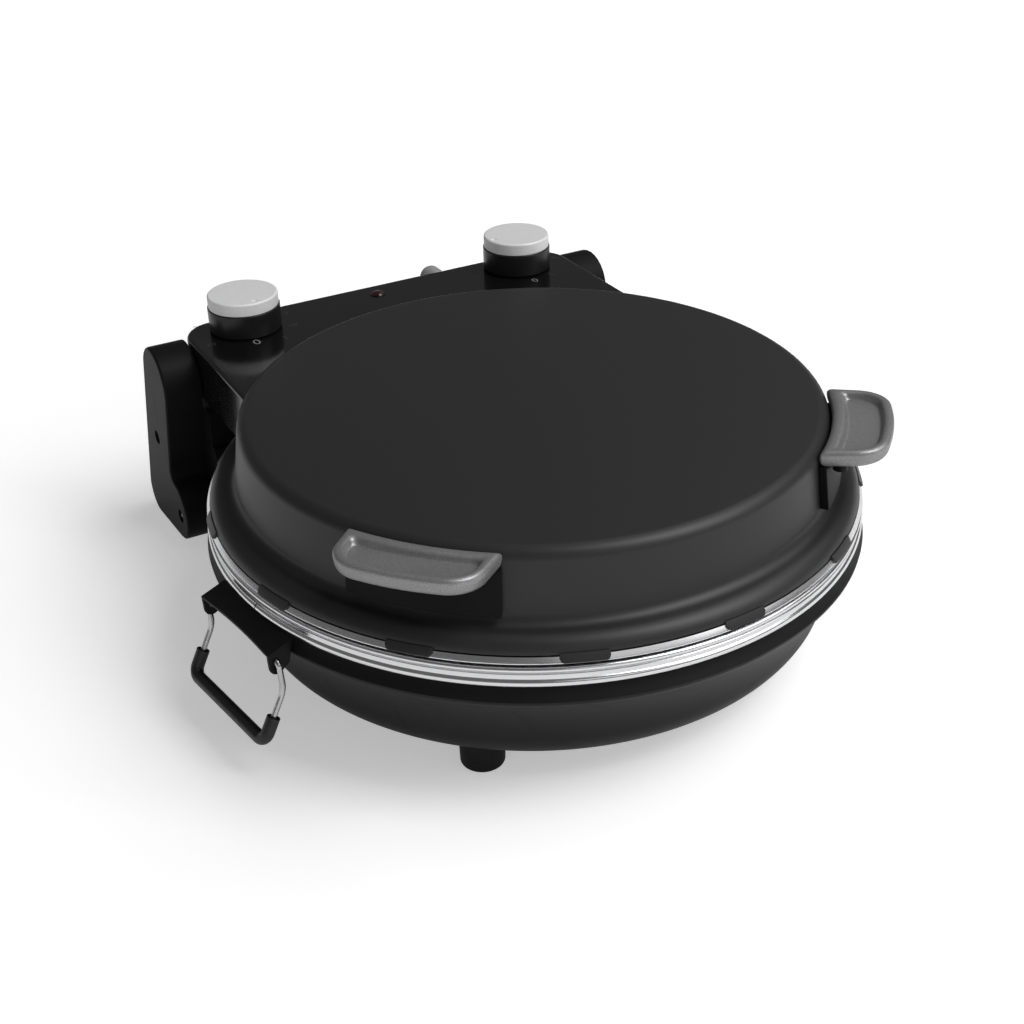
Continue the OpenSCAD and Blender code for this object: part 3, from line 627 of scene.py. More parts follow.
@dataclass(frozen=True)
class GlossFinish(HandledFinish):
    """Polished enamel or moulding, with faint wipe marks and a few specks of dust."""

    dust_share: ClassVar[float] = 0.004
    dust_level: ClassVar[float] = 0.5
    wiped: ClassVar[float] = 1.5

    def dress(self, surface: Surface) -> None:
        """Adds the wipe marks to the roughness and the dust to the colour.

        Args:
            surface: The material's tree.
        """
        grain = self.grain(surface)
        marks = surface.effect(Effect.HANDLING, {})
        self.dusted(surface, grain["Cloud"], marks["Dust"])
        rough = surface.ramp(marks["Wipe"], 0.0, 1.0, self.roughness, self.roughness * self.wiped)
        surface.feed("Roughness", rough)
        self.relief(surface, grain["Cloud"])


@dataclass(frozen=True)
class SatinFinish(HandledFinish):
    """Fine-grained satin paint or moulding, a little paler where dust and hands have dulled it."""

    dust_share: ClassVar[float] = 0.02
    dust_level: ClassVar[float] = 0.4

    def dress(self, surface: Surface) -> None:
        """Adds the grain's relief, and dust to the colour.

        Args:
            surface: The material's tree.
        """
        grain = self.grain(surface)
        marks = surface.effect(Effect.HANDLING, {"Scale": 14.0})
        self.dusted(surface, grain["Cloud"], marks["Dust"])
        self.roughen(surface, marks["Wipe"], 0.04)
        self.relief(surface, grain["Height"])


@dataclass(frozen=True)
class TurnedSteel(Finish):
    """Rolled bright steel with fine lines round the body, and a butt seam where one is asked for."""

    seam_angle: float | None = None
    seam_top: float = 80.6
    seam_shade: ClassVar[tuple[float, ...]] = (0.08, 0.08, 0.08, 1.0)

    def dress(self, surface: Surface) -> None:
        """Adds the turning lines and the seam.

        Args:
            surface: The material's tree.
        """
        lines = surface.effect(Effect.TURNING, {"Fineness": self.grain_scale})
        color = self.tint(surface, lines["Streak"])
        if self.seam_angle is not None:
            x, y, z = surface.axes(surface.place())
            away = surface.maths("SUBTRACT", surface.maths("ARCTAN2", y, x), math.radians(self.seam_angle))
            near = surface.ramp(surface.maths("ABSOLUTE", away), 0.0016, 0.003, 1.0, 0.0)
            seam = surface.maths("MULTIPLY", near, surface.maths("LESS_THAN", z, self.seam_top * MM))
            surface.feed("Base Color", surface.mix(seam, color, self.seam_shade))
        self.roughen(surface, lines["Streak"], 0.14)
        self.relief(surface, lines["Height"])


@dataclass(frozen=True)
class FlakeFinish(Finish):
    """Metallic lacquer: tiny bright flakes in a grey ground."""

    def dress(self, surface: Surface) -> None:
        """Adds the flakes to the colour and to the relief.

        Args:
            surface: The material's tree.
        """
        flakes = surface.cells(surface.place(), self.grain_scale)
        pick = surface.add("ShaderNodeSeparateColor", {0: flakes["Color"]}).outputs
        self.tint(surface, surface.ramp(pick[0], 0.35, 1.0))
        self.roughen(surface, self.grain(surface)["Cloud"])
        self.relief(surface, pick[1])


@dataclass(frozen=True)
class StoneFinish(Finish):
    """Fired stone: pale and grainy, with pores and slight toasting."""

    def dress(self, surface: Surface) -> None:
        """Adds dark grains, toasted patches and pores.

        Args:
            surface: The material's tree.
        """
        place = surface.place()
        grit = surface.ramp(surface.cells(place, self.grain_scale)["Distance"], 0.05, 0.4)
        toast = surface.noise(place, 16.0, 6.0, 0.6)
        browned = surface.mix(toast, self.shade(0.86), self.shade(1.12))
        surface.feed("Base Color", surface.mix(grit, self.shade(0.66), browned))
        self.roughen(surface, toast, 0.08)
        self.relief(surface, grit)


class Palette:
    """All finishes of the oven."""

    ENAMEL = GlossFinish("gloss_black_enamel", "gloss_black_enamel", (0.0058, 0.0058, 0.0061),
                         roughness=0.12, specular=0.22, grain_scale=500.0, grain_depth=0.004)
    PANEL = GlossFinish("gloss_black_moulding", "gloss_black_plastic", (0.005, 0.005, 0.0053),
                        roughness=0.12, specular=0.38, grain_scale=500.0, grain_depth=0.003)
    SKIRT = GlossFinish("knob_skirt_moulding", "gloss_black_plastic", (0.011, 0.011, 0.011),
                        roughness=0.3, specular=0.35, grain_depth=0.004)
    PAINT = SatinFinish("satin_black_paint", "satin_black_enamel", (0.0055, 0.0055, 0.0057),
                        roughness=0.5, specular=0.18, grain_scale=1500.0)
    MOULDING = SatinFinish("satin_black_moulding", "satin_black_plastic", (0.0065, 0.0065, 0.0067),
                           roughness=0.5, specular=0.09, grain_scale=1800.0, grain_depth=0.015)
    SLEEVE = SatinFinish("bail_sleeve_moulding", "satin_black_plastic", (0.012, 0.012, 0.012),
                         roughness=0.38, specular=0.4, grain_scale=2000.0, grain_depth=0.01)
    RIM_STEEL = TurnedSteel("rolled_rim_steel", "bright_steel", (0.78, 0.78, 0.79), roughness=0.18,
                            metallic=1.0, grain_scale=2600.0, grain_depth=0.002, variation=0.04,
                            seam_angle=-169.9)
    SHEET_STEEL = TurnedSteel("pressed_sheet_steel", "bright_steel", (0.74, 0.74, 0.75), roughness=0.26,
                              metallic=1.0, grain_scale=1400.0, grain_depth=0.002, variation=0.04)
    GREY_LACQUER = FlakeFinish("metallic_grey_lacquer", "metallic_grey_plastic", (0.32, 0.32, 0.325),
                               roughness=0.38, metallic=0.6, grain_scale=5200.0, grain_depth=0.008,
                               variation=0.25)
    PALE_LACQUER = FlakeFinish("pale_silver_lacquer", "pale_plastic", (0.86, 0.86, 0.86), roughness=0.45,
                               metallic=0.05, grain_scale=5000.0, grain_depth=0.008, variation=0.08)
    GREY_MOULDING = SatinFinish("plain_grey_moulding", "grey_plastic", (0.30, 0.30, 0.30), roughness=0.45,
                                grain_scale=1600.0, grain_depth=0.01)
    RUBBER = SatinFinish("matt_black_rubber", "black_rubber", (0.006, 0.006, 0.006), roughness=0.6,
                         specular=0.2, grain_scale=1300.0, grain_depth=0.03)
    STONE = StoneFinish("fired_stone", "stone", (0.70, 0.60, 0.46), roughness=0.85, grain_scale=700.0,
                        grain_depth=0.12)
    CERAMIC = SatinFinish("glazed_ceramic", "ceramic", (0.82, 0.81, 0.77), roughness=0.3,
                          grain_depth=0.005)
    HEATER = Finish("oxidised_heater_tube", "heater_tube", (0.20, 0.195, 0.185), roughness=0.5,
                    metallic=0.85, grain_scale=1100.0, grain_depth=0.03, variation=0.3)
    LENS = GlossFinish("dark_red_lens", "lamp_lens", (0.02, 0.003, 0.0025), roughness=0.08,
                       grain_depth=0.001)
    WIRE = Finish("bright_plated_wire", "plated_wire", (0.52, 0.52, 0.53), roughness=0.24, metallic=1.0,
                  grain_scale=1500.0, grain_depth=0.008, variation=0.08)
    PLATED = Finish("zinc_plated_steel", "plated_steel", (0.62, 0.62, 0.63), roughness=0.3, metallic=1.0,
                    grain_scale=1200.0, grain_depth=0.01)
    PRINT = Finish("dark_grey_print", "pale_plastic", (0.032, 0.032, 0.032), specular=0.4,
                   grain_depth=0.001)
    BRIGHT_PRINT = Finish("pale_grey_print", "pale_plastic", (0.22, 0.22, 0.22), grain_depth=0.001)


# Making and fitting pieces


class Body(Enum):
    """Bodies of the CAD frame that pieces ride on."""

    BASE = "base"
    LID = "lid"
    KNOB_LEFT = "knob_left"
    KNOB_RIGHT = "knob_right"
    BAIL_LEFT = "bail_left"
    BAIL_RIGHT = "bail_right"


def mesh_from(points: Sequence[Point3], faces: Sequence[Sequence[int]],
              edges: Sequence[Sequence[int]] = ()) -> Mesh:
    """Mesh from points in millimetres.

    Args:
        points: The points.
        faces: Corner numbers of each face.
        edges: End numbers of each loose edge.

    Returns:
        The mesh, in metres.
    """
    mesh = bpy.data.meshes.new("shape")
    mesh.from_pydata([Vector(p) * MM for p in points], edges, faces)
    return mesh


def line_from(points: Sequence[Point3]) -> Mesh:
    """Line of edges through points in millimetres."""
    return mesh_from(points, [], [(i, i + 1) for i in range(len(points) - 1)])


def turned(profile: Sequence[Point2], finish: Finish, segments: int = 256) -> Mesh:
    """Body of revolution.

    Args:
        profile: Closed outline as (radius, height); the last point is joined to the first.
        finish: The finish that it takes.
        segments: Number of steps round the axis.

    Returns:
        The mesh.
    """
    ring = list(profile)
    if max(ring[0][0], ring[-1][0]) > 0.0:
        ring.append(ring[0])
    return Workshop.grow(Maker.TURNED, line_from([(r, 0.0, z) for r, z in ring]), finish,
                         {"Segments": segments})


def swept(path: Sequence[Point3], radius: float, finish: Finish, sides: int = 24) -> Mesh:
    """Round rod along a path, with closed ends.

    Args:
        path: Points of the centre line.
        radius: Radius of the rod.
        finish: The finish that it takes.
        sides: Number of its sides.

    Returns:
        The mesh.
    """
    return Workshop.grow(Maker.SWEPT, line_from(path), finish, {"Radius": radius * MM, "Sides": sides})


def repeated(unit: Mesh, places: Sequence[Point3], turns: Sequence[Point3], finish: Finish) -> Mesh:
    """Copies of one mesh.

    Args:
        unit: The mesh to copy, about its own origin.
        places: Where each copy stands.
        turns: Euler angles of each copy, in degrees.
        finish: The finish that they take.

    Returns:
        One mesh that holds all the copies.
    """
    carrier = mesh_from(places, [])
    attribute = carrier.attributes.new("turn", "FLOAT_VECTOR", "POINT")
    attribute.data.foreach_set("vector", [math.radians(a) for turn in turns for a in turn])
    piece = bpy.data.objects.new("unit", unit)
    bpy.context.scene.collection.objects.link(piece)
    mesh = Workshop.grow(Maker.REPEATED, carrier, finish, {"Piece": piece})
    bpy.data.objects.remove(piece)
    return mesh


def lofted(rings: Sequence[Sequence[Point3]]) -> Mesh:
    """Skin through rings of points, with a cap at each end.

    Args:
        rings: Rings with the same number of points each.

    Returns:
        The mesh.
    """
    n, last = len(rings[0]), len(rings) - 1
    faces = []
    for k in range(last):
        for i in range(n):
            a, b = k * n + i, k * n + (i + 1) % n
            faces.append((a, b, b + n, a + n))
    faces += [tuple(range(n))[::-1], tuple(range(last * n, (last + 1) * n))]
    return mesh_from([p for ring in rings for p in ring], faces)


def joined(meshes: Sequence[Mesh]) -> Mesh:
    """One mesh from several.

    Args:
        meshes: The meshes, which are then removed.

    Returns:
        The whole mesh.
    """
    bm = bmesh.new()
    for mesh in meshes:
        bm.from_mesh(mesh)
    whole = bpy.data.meshes.new("joined")
    bm.to_mesh(whole)
    bm.free()
    for mesh in meshes:
        bpy.data.meshes.remove(mesh)
    return whole


def placed(mesh: Mesh, matrix: Matrix) -> Mesh:
    """The same mesh, moved.

    Args:
        mesh: The mesh.
        matrix: The move, whose shift is in millimetres.

    Returns:
        The mesh that was given.
    """
    shifted = matrix.copy()
    shifted.translation = matrix.translation * MM
    mesh.transform(shifted)
    return mesh


def facing(angle: float) -> Matrix:
    """Turn that takes +X to a direction given in degrees from the front towards the left."""
    return Matrix.Rotation(math.radians(-90.0 - angle), 4, "Z")


def shade_edges(mesh: Mesh, crease: float) -> None:
    """Shades a mesh smooth, with sharp edges past an angle in degrees."""
    mesh.polygons.foreach_set("use_smooth", [True] * len(mesh.polygons))
    mesh.set_sharp_from_angle(angle=math.radians(crease))


def fit(name: str, mesh: Mesh, body: Body, finish: Finish, *stands_for: str, crease: float = 35.0,
        ready: bool = False) -> None:
    """Makes a mesh a piece of the oven.

    Args:
        name: Name of the piece.
        mesh: Its mesh, in place.
        body: The body that it rides on.
        finish: Its finish.
        *stands_for: CAD nodes that it replaces.
        crease: Angle in degrees past which an edge is shaded sharp.
        ready: Whether its doubles are merged, its faces outwards and its edges shaded already.
    """
    if not ready:
        bm = bmesh.new()
        bm.from_mesh(mesh)
        bmesh.ops.remove_doubles(bm, verts=bm.verts, dist=WELD)
        bmesh.ops.recalc_face_normals(bm, faces=bm.faces)
        bm.to_mesh(mesh)
        bm.free()
        shade_edges(mesh, crease)
    mesh.materials.clear()
    mesh.materials.append(finish.material())
    mesh.name = name
    piece = bpy.data.objects.new(name, mesh)
    bpy.context.scene.collection.objects.link(piece)
    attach(piece, body.value)
    if stands_for:
        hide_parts(*stands_for)
    LOG.info("%s on %s: %d faces, %s", name, body.value, len(mesh.polygons), finish.name)


def recast(node: str, body: Body, finish: Finish, edge: float = 0.4, sharp: float = 50.0,
           crease: float = 32.0) -> None:
    """Makes a moulding with the CAD node's own form and softened edges.

    Args:
        node: The CAD node that it copies and replaces.
        body: The body that it rides on.
        finish: Its finish.
        edge: Radius of its softened edges, in millimetres.
        sharp: Angle in degrees past which an edge is softened.
        crease: Angle in degrees past which an edge is shaded sharp.
    """
    bm = bmesh.new()
    bm.from_mesh(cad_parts[node].data)
    for layer in list(bm.loops.layers.uv):
        bm.loops.layers.uv.remove(layer)
    bmesh.ops.remove_doubles(bm, verts=bm.verts, dist=2 * WELD)
    bmesh.ops.dissolve_limit(bm, angle_limit=math.radians(0.4), verts=bm.verts, edges=bm.edges,
                             use_dissolve_boundaries=False)
    mesh = bpy.data.meshes.new("recast")
    bm.to_mesh(mesh)
    bm.free()
    shade_edges(mesh, crease)
    holder = bpy.data.objects.new("recast", mesh)
    bevel = holder.modifiers.new("edge", "BEVEL")
    bevel.width = edge * MM
    bevel.segments = 2
    bevel.limit_method = "ANGLE"
    bevel.angle_limit = math.radians(sharp)
    bevel.harden_normals = False
    weighted = holder.modifiers.new("flat_faces", "WEIGHTED_NORMAL")
    weighted.keep_sharp = False
    weighted.weight = 100
    soft = plain_mesh(holder)
    bpy.data.objects.remove(holder)
    bpy.data.meshes.remove(mesh)
    fit(f"{node}_cast", soft, body, finish, node, ready=True)


def repaint(finish: Finish, *nodes: str) -> None:
    """Gives CAD nodes whose shape is right a finish of their own.

    Args:
        finish: The finish.
        *nodes: The CAD nodes.
    """
    for node in nodes:
        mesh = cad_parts[node].data
        mesh.materials.clear()
        mesh.materials.append(finish.material())
        LOG.info("%s keeps its CAD form: %s", node, finish.name)


def bend(before: Vector, corner: Vector, after: Vector, radius: float, count: int) -> list[Vector]:
    """Points of a round bend.

    Args:
        before: A point on the way in.
        corner: Where the straight lines meet.
        after: A point on the way out.
        radius: Radius of the bend.
        count: Number of steps round it.

    Returns:
        The points from the start of the bend to its end.
    """
    d0, d1 = (corner - before).normalized(), (after - corner).normalized()
    turn = d0.angle(d1)
    side = (d1 - d0.dot(d1) * d0).normalized()
    centre = corner - radius * math.tan(turn / 2) * d0 + radius * side
    return [centre + radius * (math.sin(turn * i / count) * d0 - math.cos(turn * i / count) * side)
            for i in range(count + 1)]


def rounded(points: Sequence[Point3], radii: Sequence[float], count: int) -> list[Vector]:
    """Line through points, with every inner corner made a round bend.

    Args:
        points: Ends and corners of the line.
        radii: Radius of the bend at each inner corner.
        count: Number of steps round each bend.

    Returns:
        Points of the line.
    """
    p = [Vector(q) for q in points]
    inner = [q for i, r in enumerate(radii, 1) for q in bend(p[i - 1], p[i], p[i + 1], r, count)]
    return [p[0], *inner, p[-1]]


def outward_ends(line: Sequence[Vector]) -> list[tuple[Vector, Vector]]:
    """Each end of a line, with the direction that leads out of it."""
    return [(end, (end - inner).normalized()) for end, inner in ((line[0], line[1]), (line[-1], line[-2]))]


# Sub-assemblies


@dataclass
class ScrewHead:
    """Domed screw head with a cross recess, as one unit about its own seat."""

    radius: float = 3.7
    height: float = 2.2
    recess_half: float = 0.55
    recess_reach: float = 2.1
    recess_depth: float = 1.1
    recess_ease: float = 0.06
    rim_share: float = 0.42
    roundness: float = 2.4
    drawn_radius: ClassVar[float] = 3.7
    sides: ClassVar[int] = 40

    def unit(self) -> Mesh:
        """Rings of points whose tops sink in a cross.

        Returns:
            The head's mesh.
        """
        scale = self.radius / self.drawn_radius
        rings = []
        for r in (0.001, 0.3, 0.55, 0.75, 1.1, 1.5, 1.95, 2.2, 2.6, 3.0, 3.35, 3.6, self.radius):
            share = min(1.0, r / self.radius)
            dome = math.sqrt(max(0.0, 1 - share ** self.roundness))
            top = self.height * (self.rim_share + (1 - self.rim_share) * dome)
            ring = []
            for i in range(self.sides):
                a = math.tau * i / self.sides
                x, y = r * math.cos(a), r * math.sin(a)
                inside = (min(abs(x), abs(y)) < self.recess_half * scale + self.recess_ease
                          and max(abs(x), abs(y)) < self.recess_reach * scale)
                ring.append((x, y, top - (self.recess_depth * scale if inside else 0.0)))
            rings.append(ring)
        rings.append([(x, y, 0.0) for x, y, _ in rings[-1]])
        return lofted(rings)


@dataclass
class Lid:
    """Enamelled dome, its flange tabs and the steel liner pressed under it."""

    shoulder: float = 136.0
    crown: float = 0.9
    draft: float = 7.0
    edge_radius: float = 6.8
    top_radius: float = 149.0
    fillet_radius: float = 6.0
    fillet_height: float = 17.4
    brim_radius: float = 8.9
    liner_low: float = 87.3
    liner_gap: float = 11.0
    liner_wall: float = 0.8
    liner_corner: float = 13.2
    lip_corner: float = 5.5
    hem_radius: float = 0.62
    wall: float = 1.2
    rim_radius: float = 176.5
    tab_count: int = 13
    tab_pitch: float = 26.5
    tab_shift: float = 4.5
    tab_width: float = 23.0
    flange_top: Point2 = (173.9, 91.4)
    flange_fall: Point2 = (2.1, -3.1)

    def build(self) -> None:
        """Builds the dome with its tabs, and the liner."""
        self.build_shell()
        self.build_liner()

    def outer_path(self) -> list[Point2]:
        """Outside of the dome.

        Returns:
            Points from its centre to its flared edge.
        """
        top = (self.top_radius, self.shoulder - self.edge_radius)
        start = step(top, ray(self.draft), self.edge_radius)
        down = (math.sin(math.radians(self.draft)), -math.cos(math.radians(self.draft)))
        run = (start[1] - (self.liner_low + self.fillet_height)) / math.cos(math.radians(self.draft))
        fillet = step(step(start, down, run), ray(self.draft), self.fillet_radius)
        brim = (fillet[0], fillet[1] - self.fillet_radius - self.brim_radius)
        steps = 24
        crown = [(top[0] * i / steps, self.shoulder + self.crown * (1 - (i / steps) ** 2))
                 for i in range(steps)]
        return (crown + arc(top, self.edge_radius, 90, self.draft, 20)
                + arc(fillet, self.fillet_radius, 180 + self.draft, 262, 16)
                + arc(brim, self.brim_radius, 82, 10, 18))

    def on_flange(self, down: float, out: float) -> Point2:
        """Point at a distance down the sloping flange from its top, and out from its face."""
        length = math.hypot(*self.flange_fall)
        fall = (self.flange_fall[0] / length, self.flange_fall[1] / length)
        return step(step(self.flange_top, fall, down), (-fall[1], fall[0]), out)

    def build_shell(self) -> None:
        """Turns the enamelled dome and lays its tabs on the flange."""
        fit("lid_dome", turned(sheet(self.outer_path(), -self.wall), Palette.ENAMEL, FACETS), Body.LID,
            Palette.ENAMEL, "lid_shell", crease=50)
        turns = [(0.0, 0.0, -90.0 - ((i - (self.tab_count - 1) / 2) * self.tab_pitch - self.tab_shift))
                 for i in range(self.tab_count)]
        tabs = repeated(self.tab_unit(), [(0.0, 0.0, 0.0)] * self.tab_count, turns, Palette.ENAMEL)
        fit("lid_tabs", tabs, Body.LID, Palette.ENAMEL, crease=50)

    def tab_unit(self) -> Mesh:
        """One tab at angle 0, bent round the flange, with rounded lower corners and a soft lower edge.

        Returns:
            The tab's mesh.
        """
        columns, corner, top, low, thick, lift = 28, 2.0, -1.4, 3.2, 0.95, 0.02
        rings = []
        for i in range(columns + 1):
            s = self.tab_width * (i / columns - 0.5)
            past = max(0.0, abs(s) - (self.tab_width / 2 - corner))
            end = low - (corner - math.sqrt(max(0.0, corner ** 2 - past ** 2)))
            outline = [(top, lift), (end - 0.15, lift), (end, 0.2), (end, thick - 0.3),
                       (end - 0.12, thick - 0.08), (end - 0.35, thick), (top, thick)]
            a = s / self.flange_top[0]
            ring = []
            for v, t in outline:
                r, z = self.on_flange(v, t)
                ring.append((r * math.cos(a), r * math.sin(a), z))
            rings.append(ring)
        return lofted(rings)

    def build_liner(self) -> None:
        """Turns the bright liner with its flat lip and the hemmed, sloping flange."""
        r, low, wall, top = self.rim_radius, self.liner_low, self.liner_wall, self.flange_top
        roof, flat = self.shoulder - self.liner_gap, 70.0
        corner, lip = (r - 42, roof - self.liner_corner), (r - 20.5, low + self.lip_corner)
        inside = [(0.0, roof + 0.2), (flat, roof)]
        inside += arc(corner, self.liner_corner, 90, 5, 14) + arc(lip, self.lip_corner, 184, 270, 12)
        inside += [(r - 3.2, low)] + arc(self.on_flange(2.75, -self.hem_radius), self.hem_radius, -100, 34, 8)
        face = [top, step(top, (-1.0, -0.1), 3.2)]
        back = [step(top, (-1.0, -0.25), 3.1), step(top, (-0.9, -1.0), 0.9), (r - 2.9, low + 1.3),
                (r - 4.0, low + 0.8)]
        back += arc(lip, self.lip_corner - wall, 270, 184, 12)
        back += arc(corner, self.liner_corner + wall, 5, 90, 14)
        back += [(flat, roof + wall), (0.0, roof + 0.2 + wall)]
        fit("lid_liner_press", turned(inside + face + back, Palette.SHEET_STEEL, FACETS), Body.LID,
            Palette.SHEET_STEEL, "lid_liner", crease=40)


@dataclass
class Base:
    """Painted bowl, rolled steel rim, bright inner pan and the baking stone."""

    rim_radius: float = 176.5
    rim_low: float = 75.5
    rim_top: float = 86.5
    bead: float = 2.55
    wire: float = 1.45
    floor: float = 16.0
    floor_rise: float = 3.0
    floor_flat: float = 106.0
    corner_inset: float = 37.5
    corner_radius: float = 22.0
    flare_radius: float = 68.5
    wall: float = 1.2
    ledge: float = 66.8
    pan_depth: float = 32.0
    pan_wall: float = 0.8
    pan_corner: float = 20.0
    stone_radius: float = 155.5
    stone_low: float = 67.6
    stone_top: float = 81.6
    stone_edge: float = 1.5

    def build(self) -> None:
        """Builds the bowl, the rim, the pan and the stone."""
        self.build_bowl()
        self.build_rim()
        self.build_pan()
        self.build_stone()

    def build_bowl(self) -> None:
        """Turns the painted bowl with its raised floor, round corner and flare."""
        r, z, low = self.rim_radius, self.rim_low, self.floor
        corner = (r - self.corner_inset, low + self.corner_radius)
        flare = step(corner, ray(169), -(self.corner_radius + self.flare_radius))
        path = [(x, low + self.floor_rise) for x in (0.0, 60.0, self.floor_flat)]
        path += [(108.5, low + 2.8), (113.0, low + 0.3), (116.0, low)]
        path += arc(corner, self.corner_radius, 270, 349, 24)
        path += arc(flare, self.flare_radius, 166, 137.5, 24)
        path += [(r + 1.0, z - 7.25), (r + 1.1, z - 6.9), (r + 0.6, z - 6.1), (r - 3.9, z - 0.4),
                 (r - 4.7, z + 3.4)]
        fit("bowl_pressing", turned(sheet(path, self.wall), Palette.PAINT, FACETS), Body.BASE,
            Palette.PAINT, "base_bowl", crease=40)

    def build_rim(self) -> None:
        """Turns the steel rim: wired edge on top, a flat band, and the fat rolled bead below."""
        r, z, top, bead, wire = self.rim_radius, self.rim_low, self.rim_top, self.bead, self.wire
        profile = [(r - 3.7, z + 2)]
        profile += arc((r - bead, z + bead), bead, 236, 418, 36)
        profile += [(r - 1.2, z + 5.1), (r - 1.2, z + 7.2), (r - 1.35, z + 7.35), (r - 2.2, z + 7.4),
                    (r - 2.3, z + 7.5), (r - 2.3, z + 8.2)]
        profile += arc((r - 2, top - wire), wire, -60, 90, 20)
        profile += [(r - 7, top), (r - 7, top - 0.9), (r - 3.7, top - 0.9)]
        fit("rim_rolled", turned(profile, Palette.RIM_STEEL, 360), Body.BASE, Palette.RIM_STEEL,
            "base_ring", crease=32)

    def build_pan(self) -> None:
        """Turns the bright inner pan with the ledge that carries the stone."""
        r, z, ledge, low = self.rim_radius, self.rim_low, self.ledge, self.ledge - self.pan_depth
        path = [(0.0, low), (60.0, low)]
        path += arc((r - 50, low + self.pan_corner), self.pan_corner, 270, 345, 14)
        path += [(r - 29.0, ledge - 1.6), (r - 28.2, ledge - 0.2), (r - 27.4, ledge), (r - 19.8, ledge),
                 (r - 19.1, ledge + 0.4), (r - 18.9, ledge + 1.2), (r - 18.3, z + 4.5), (r - 13.5, z + 7.3),
                 (r - 6.2, z + 9.2)]
        fit("inner_pan", turned(sheet(path, self.pan_wall), Palette.SHEET_STEEL, FACETS), Body.BASE,
            Palette.SHEET_STEEL, "base_reflector", crease=40)

    def build_stone(self) -> None:
        """Turns the baking stone with its small bevels."""
        r, low, high, edge = self.stone_radius, self.stone_low, self.stone_top, self.stone_edge
        profile = [(0.0, low), (r - 1.6, low)] + arc((r - edge, low + edge), edge, 275, 355, 5)
        profile += arc((r - edge, high - edge), edge, 5, 85, 5)
        profile += [(r - 1.6, high), (r / 2, high), (0.0, high)]
        fit("baking_stone", turned(profile, Palette.STONE), Body.BASE, Palette.STONE, "pizza_stone")


@dataclass
class Heaters:
    """The two heating loops, bent from one tube each."""

    loop_radius: float = 108.0
    tube_radius: float = 3.3
    pin_radius: float = 1.6
    lead_angle: float = 9.0
    lead_bend: float = 9.0
    loop_steps: int = 96
    bend_steps: int = 10
    pin: Point2 = (3.0, 6.0)
    lower: Point2 = (50.0, 44.0)
    upper: Point2 = (114.0, 52.0)

    def path(self, height: float, run: float) -> list[Vector]:
        """Centre line of one loop.

        Args:
            height: Height of the loop above the table.
            run: Length of each lead beyond its bend.

        Returns:
            Points from one terminal to the other.
        """
        ends = {}
        for side in (1, -1):
            lead = Vector((*ray(90 + side * self.lead_angle), 0.0))
            end = self.loop_radius * lead + Vector((0, 0, height))
            corner = end + self.lead_bend * side * Vector((lead.y, -lead.x, 0.0))
            ends[side] = (end, corner, corner + run * lead)
        first, sweep = 90 + self.lead_angle, 360 - 2 * self.lead_angle
        loop = arc((0.0, 0.0), self.loop_radius, first, first + sweep, self.loop_steps)[1:-1]
        left, right = ends[1], ends[-1]
        return ([left[2]] + bend(left[2], left[1], left[0], self.lead_bend, self.bend_steps)
                + [Vector((*point, height)) for point in loop]
                + bend(right[0], right[1], right[2], self.lead_bend, self.bend_steps) + [right[2]])

    def build(self) -> None:
        """Sweeps both loops and their terminals."""
        for name, node, height_and_run, body in (
                ("lower_heater", "lower_element", self.lower, Body.BASE),
                ("upper_heater", "upper_element", self.upper, Body.LID)):
            path = self.path(*height_and_run)
            meshes = [swept(path, self.tube_radius, Palette.HEATER)]
            for end, out in outward_ends(path):
                pin = [end - self.pin[0] * out, end + self.pin[1] * out]
                meshes.append(swept(pin, self.pin_radius, Palette.HEATER, 16))
            fit(name, joined(meshes), body, Palette.HEATER, node, crease=50)
        repaint(Palette.PLATED, "lower_element_clips", "upper_element_clips")


